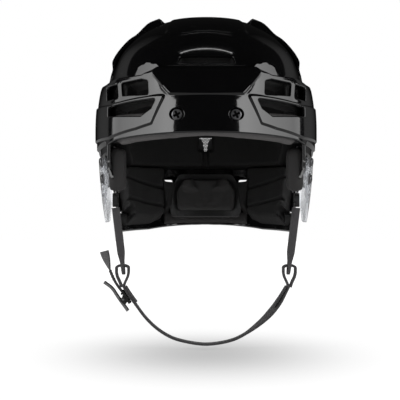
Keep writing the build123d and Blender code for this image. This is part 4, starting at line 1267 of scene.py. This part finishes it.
def fold(name, route, distance):
    """The fold of an end of the chin strap, beside the start of this route."""
    return strap(name, spline_points(shifted(shortened(route), distance)), strap_width, strap_thickness)


fold_left = fold("strap_fold_webbing_left", chin_route[:-4:-1], -2.1)
fold_right = fold("strap_fold_webbing_right", chin_route[:3], 2.1)

# %% [markdown]
# ## Buckle
# The lever is a satin nylon plate with a barrel that turns on the pin, and lifting it frees the strap.
# The frame is a plate beside the strap, with teeth that bite the tail and two cheeks that hold the pin.

# %% Buckle
pin_x, pin_z = -82.93, -163.76
lever_route = [(-102.2, -146.4), (-98.5, -149.0), (-93.6, -152.8), (-89.5, -159.5), (-83.2, -168.4), (-78.2, -175.2)]
plate_thickness = 2.6


def bar(name, x, z, radius, width, material, count=12):
    """A round bar across the strap."""
    turns = np.arange(count) * 2 * math.pi / count
    ends = (strap_y - width / 2, strap_y + width / 2)
    rows = [[(x + radius * math.cos(a), y, z + radius * math.sin(a)) for a in turns] for y in ends]
    return lofted(name, rows, material, 40, True)


lever_line = spline_points(lever_route) + (-0.35, 0, -0.25)
lever_plate = strap("lever_plate", lever_line, strap_width, plate_thickness, material=plastic_grey)
lever = joined("buckle_lever_plate", lever_plate, bar("barrel", pin_x, pin_z, 2.5, strap_width, plastic_grey, 20))
frame_line = spline_points([(-84.6, -155.2), (-81.0, -160.2), (-76.4, -167.8)])
buckle_pieces = [strap("frame_plate", frame_line, 17.0, plate_thickness, material=plastic_black)]
for share in (0.2, 0.4, 0.6, 0.8):
    x, y, z = frame_line[round(share * (len(frame_line) - 1))]
    buckle_pieces.append(bar("tooth", x - 1.5, z - 0.9, 1.1, 13.0, plastic_black))
for y in (strap_y - 8.6, strap_y + 8.6):
    cheek_line = [(-84.2, y, -162.6), (-82.3, y, -164.4), (-79.2, y, -166.4)]
    buckle_pieces.append(strap("cheek", cheek_line, 6.5, 1.4, across=(0.75, 0, 0.66), material=plastic_black))
buckle_frame = joined("buckle_frame_plate", *buckle_pieces)

# %% [markdown]
# ## Stitches
# Each fold is sewn with a bar of stitches, and a row of stitches follows both edges of the chin strap
# for a short way. A stitch is a small rounded bar that is half sunk in the webbing.

# %% Stitches
def stitch_source():
    """A bar 2.2 mm long whose ends dip into the webbing."""
    rows = []
    for along, thick in ((-1.1, 0.05), (-0.85, 0.22), (0, 0.3), (0.85, 0.22), (1.1, 0.05)):
        lift = 0.12 * (1 - (along / 1.1) ** 2)
        rows.append([(along, thick * math.cos(a), thick * math.sin(a) + lift) for a in np.arange(8) * math.pi / 4])
    return lofted("stitch", rows, thread.material)


def stitch_frames(line, offsets, out, start, end, step=3.0, lift=0.9):
    """Frames along a line of points: offsets are across the webbing, out is 1 or -1."""
    reach = lengths(line)

    def at(distance):
        return np.array([np.interp(distance, reach, line[:, axis]) for axis in range(3)])

    frames = []
    for distance in np.arange(start, end, step):
        spot = at(distance)
        run = at(distance + 0.5) - spot
        run /= np.linalg.norm(run)
        up = np.cross(run, (0, 1, 0)) * out
        frames += [(spot + np.array([0, offset, 0]) + up * lift, run, up) for offset in offsets]
    return frames


stitch = stitch_source()
edge_rows, bar_rows, bar_step = (-6, 6), (-4, 0, 4), 5.0
sewn = []
for out in (-1, 1):
    sewn += stitch_frames(chin_line, edge_rows, out, 6, 28)
    sewn += stitch_frames(chin_line, bar_rows, out, 12, 22, bar_step)
    sewn += stitch_frames(chin_line, edge_rows, out, chin_length - 30, chin_length - 4)
    sewn += stitch_frames(chin_line, bar_rows, out, chin_length - 22, chin_length - 10, bar_step)
    sewn += stitch_frames(tail_line, (-5.5, 5.5), out, 20, 30)
stitches = scattered("chin_strap_stitches", stitch, sewn, thread.material)
bpy.data.objects.remove(stitch)

# %% [markdown]
# ## Riding and replacing
# Each piece moves with one body of the frame and stands for the CAD node in its place.

# %% Riding and replacing
def dress(made, body, slot, *nodes):
    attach(made, body)
    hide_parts(*nodes)


def dress_pair(left, body, slot, node):
    """Dresses a piece on the wearer's left and a mirrored copy of it on the right, and gives the copy."""
    right = mirrored(left, left.name.split("_left")[0] + "_right")
    dress(left, body, slot, node + "_left")
    dress(right, body, slot, node + "_right")
    return right


for made, body, slot, node in (
    (front_shell, "helmet", "shell_gloss", "front_shell"),
    (rear_shell, "rear_half", "shell_gloss", "rear_shell"),
    (front_liner, "helmet", "foam_black", "front_liner"),
    (rear_liner, "rear_half", "foam_black", "rear_liner"),
    (brow_pad, "helmet", "foam_grey", "brow_pad"),
    (crown_pad, "helmet", "pad_vinyl", "crown_pad"),
    (cradle, "cradle", "plastic_black", "occipital_cradle"),
    (back_pad, "cradle", "pad_vinyl", "occipital_pad"),
    (chin_strap, "chin_sling", "webbing", "chin_strap"),
    (tail, "chin_sling", "webbing", "strap_tail"),
    (fold_left, "chin_sling", "webbing", "strap_fold_left"),
    (fold_right, "chin_sling", "webbing", "strap_fold_right"),
    (vent_mesh, "rear_half", "mesh_pale", "rear_vent_mesh"),
    (lever, "buckle", "plastic_grey", "buckle_lever"),
    (buckle_frame, "chin_sling", "plastic_black", "buckle_frame"),
    (front_screws, "helmet", "screw_black", "front_screws"),
    (guard_screws, "helmet", "screw_black", "ear_guard_screws"),
    (latch_screws, "rear_half", "screw_black", "latch_screws"),
    (caps, "helmet", "steel", "ear_strap_snaps"),
):
    dress(made, body, slot, node)
dress(hem, "rear_half", "pad_vinyl")
dress(stitches, "chin_sling", "webbing")
dress_pair(side_liner, "rear_half", "foam_black", "side_liner")
dress_pair(guard, "helmet", "clear_guard", "ear_guard")
dress_pair(ear_loop, "helmet", "webbing", "ear_loop")
dress_pair(front_leg, "helmet", "webbing", "ear_strap_front")
dress_pair(rear_leg, "helmet", "webbing", "ear_strap_rear")
temple_pad_right = dress_pair(temple_pad, "helmet", "pad_vinyl", "temple_pad")
chin_loop_right = dress_pair(chin_loop, "chin_sling", "webbing", "chin_loop")
nodes = frame["nodes"]

# %% Finishes of the CAD nodes that stay
kept = {name: steel for name in ("front_nuts", "ear_guard_nuts", "latch_nuts", "latch_pins", "buckle_pin")}
kept["cradle_rails"] = plastic_black
for stem in ("latch_base", "latch_lever", "strap_slide", "corner_eyelet"):
    kept[stem + "_left"] = kept[stem + "_right"] = plastic_black
for name, material in kept.items():
    painted(nodes[name].data, material)

# %% [markdown]
# ## Studio
# The photo has a white background and a soft shadow. A wide glowing panel stands at each side and a
# strip hangs overhead, and the front stays dark, which leaves the middle of the brow black.
# The background is white to the camera and through the clear guards. The gloss sees it much darker,
# with a little more light from behind and from the sides.

# %% World
world = bpy.data.worlds.new("studio")
world.use_nodes = True
bpy.context.scene.world = world
sky = Nodes(world.node_tree)
ambient, darkest, brightest = 0.22, 0.006, 0.1


def ray(kind):
    return sky.add("ShaderNodeLightPath", output=f"Is {kind} Ray")


direction = sky.add("ShaderNodeTexCoord", output="Generated")
sideways, behind = (sky.add("ShaderNodeSeparateXYZ", {}, {"Vector": direction}, axis) for axis in "XY")
mirror = (behind * 5.0 - 3.2).maths("MINIMUM", sideways.maths("ABSOLUTE") * 0.22 - 0.06)
mirror = mirror.maths("MINIMUM", brightest).maths("MAXIMUM", darkest)
strength = ray("Glossy") * mirror + (1 - ray("Glossy")) * ambient
strength = strength.maths("MAXIMUM", ray("Camera").maths("MAXIMUM", ray("Transmission")))
background = sky.tree.nodes["Background"].inputs
background["Color"].default_value = (1, 1, 1, 1)
sky.tree.links.new(strength.socket, background["Strength"])


# %% Strip and panels
def aimed(name, data, place):
    """An object at this place in metres, turned to the helmet."""
    made = placed(name, data)
    made.location = place
    made.rotation_euler = (-Vector(place)).to_track_quat("-Z", "Y").to_euler()
    return made


def sheet(name, wide, high, finish):
    """A flat mesh of one face."""
    mesh = bpy.data.meshes.new(name)
    corners = [(x * wide / 2, y * high / 2, 0) for x, y in ((-1, -1), (1, -1), (1, 1), (-1, 1))]
    mesh.from_pydata(corners, [], [(0, 1, 2, 3)])
    mesh.materials.append(finish.material)
    return mesh


strip = bpy.data.lights.new("strip_above", "AREA")
strip.shape = "RECTANGLE"
strip.size, strip.size_y, strip.energy = 1.2, 0.03, 0.45
aimed("strip_above", strip, (0, -0.12, 1.5))
panel_distance, panel_turn, panel_rise = 1.6, math.radians(80), math.radians(7)
for side, name in ((-1, "panel_left"), (1, "panel_right")):
    glow = Finish(name, Roughness=1.0, Base_Color=(0, 0, 0, 1), Emission_Strength=1.0)
    position = glow.add("ShaderNodeNewGeometry", output="Position")
    depth = glow.add("ShaderNodeSeparateXYZ", {}, {"Vector": position}, "Y")
    limits = {"Value": depth, "From Min": -1.2, "From Max": 0.6, "To Min": 2.9, "To Max": 0.9}
    glow.set("Emission Color", glow.add("ShaderNodeMapRange", {}, limits))
    level, height = panel_distance * math.cos(panel_rise), panel_distance * math.sin(panel_rise)
    place = (side * level * math.sin(panel_turn), -level * math.cos(panel_turn), height)
    panel = aimed(name, sheet(name, 2.7, 1.2, glow), place)
    panel.visible_camera = False

# %% [markdown]
# ## Floor
# The floor glows white like the background. Below the helmet its glow is lower, a painted shadow that deepens the
# real shadow it catches, and in the gloss it hardly glows at all.

# %% Floor
floor_level = -0.2145
floor_size = 8.0
grey = (0.4, 0.4, 0.4, 1)
ground = Finish("floor", Roughness=0.9, Base_Color=grey, Specular_IOR_Level=0.0, Emission_Strength=1.0)
# The glow is lowest in an ellipse under the helmet: a painted shadow on top of the real one.
squeeze = {0: ground.place(), 1: (1.667, 1.0, 0.0), 2: (0.0, 0.04, 0.0)}
squeezed = ground.add("ShaderNodeVectorMath", {"operation": "MULTIPLY_ADD"}, squeeze)
centre = ground.add("ShaderNodeVectorMath", {"operation": "LENGTH"}, {0: squeezed}, "Value")
painted_shadow_range = {"Value": centre, "From Min": 0.0, "From Max": 0.3, "To Min": 0.4, "To Max": 0.83}
far = {"Value": centre, "From Min": 0.26, "From Max": 1.2, "To Min": 0.0, "To Max": 0.3}
glow = ground.add("ShaderNodeMapRange", {"interpolation_type": "SMOOTHSTEP"}, painted_shadow_range)
dimmed = 1 - ground.add("ShaderNodeLightPath", output="Is Glossy Ray") * 0.95
ground.set("Emission Color", (glow + ground.add("ShaderNodeMapRange", {}, far)) * dimmed)
floor = placed("floor", sheet("floor", floor_size, floor_size, ground))
floor.location.z = floor_level
bpy.context.scene.view_settings.view_transform = "Standard"
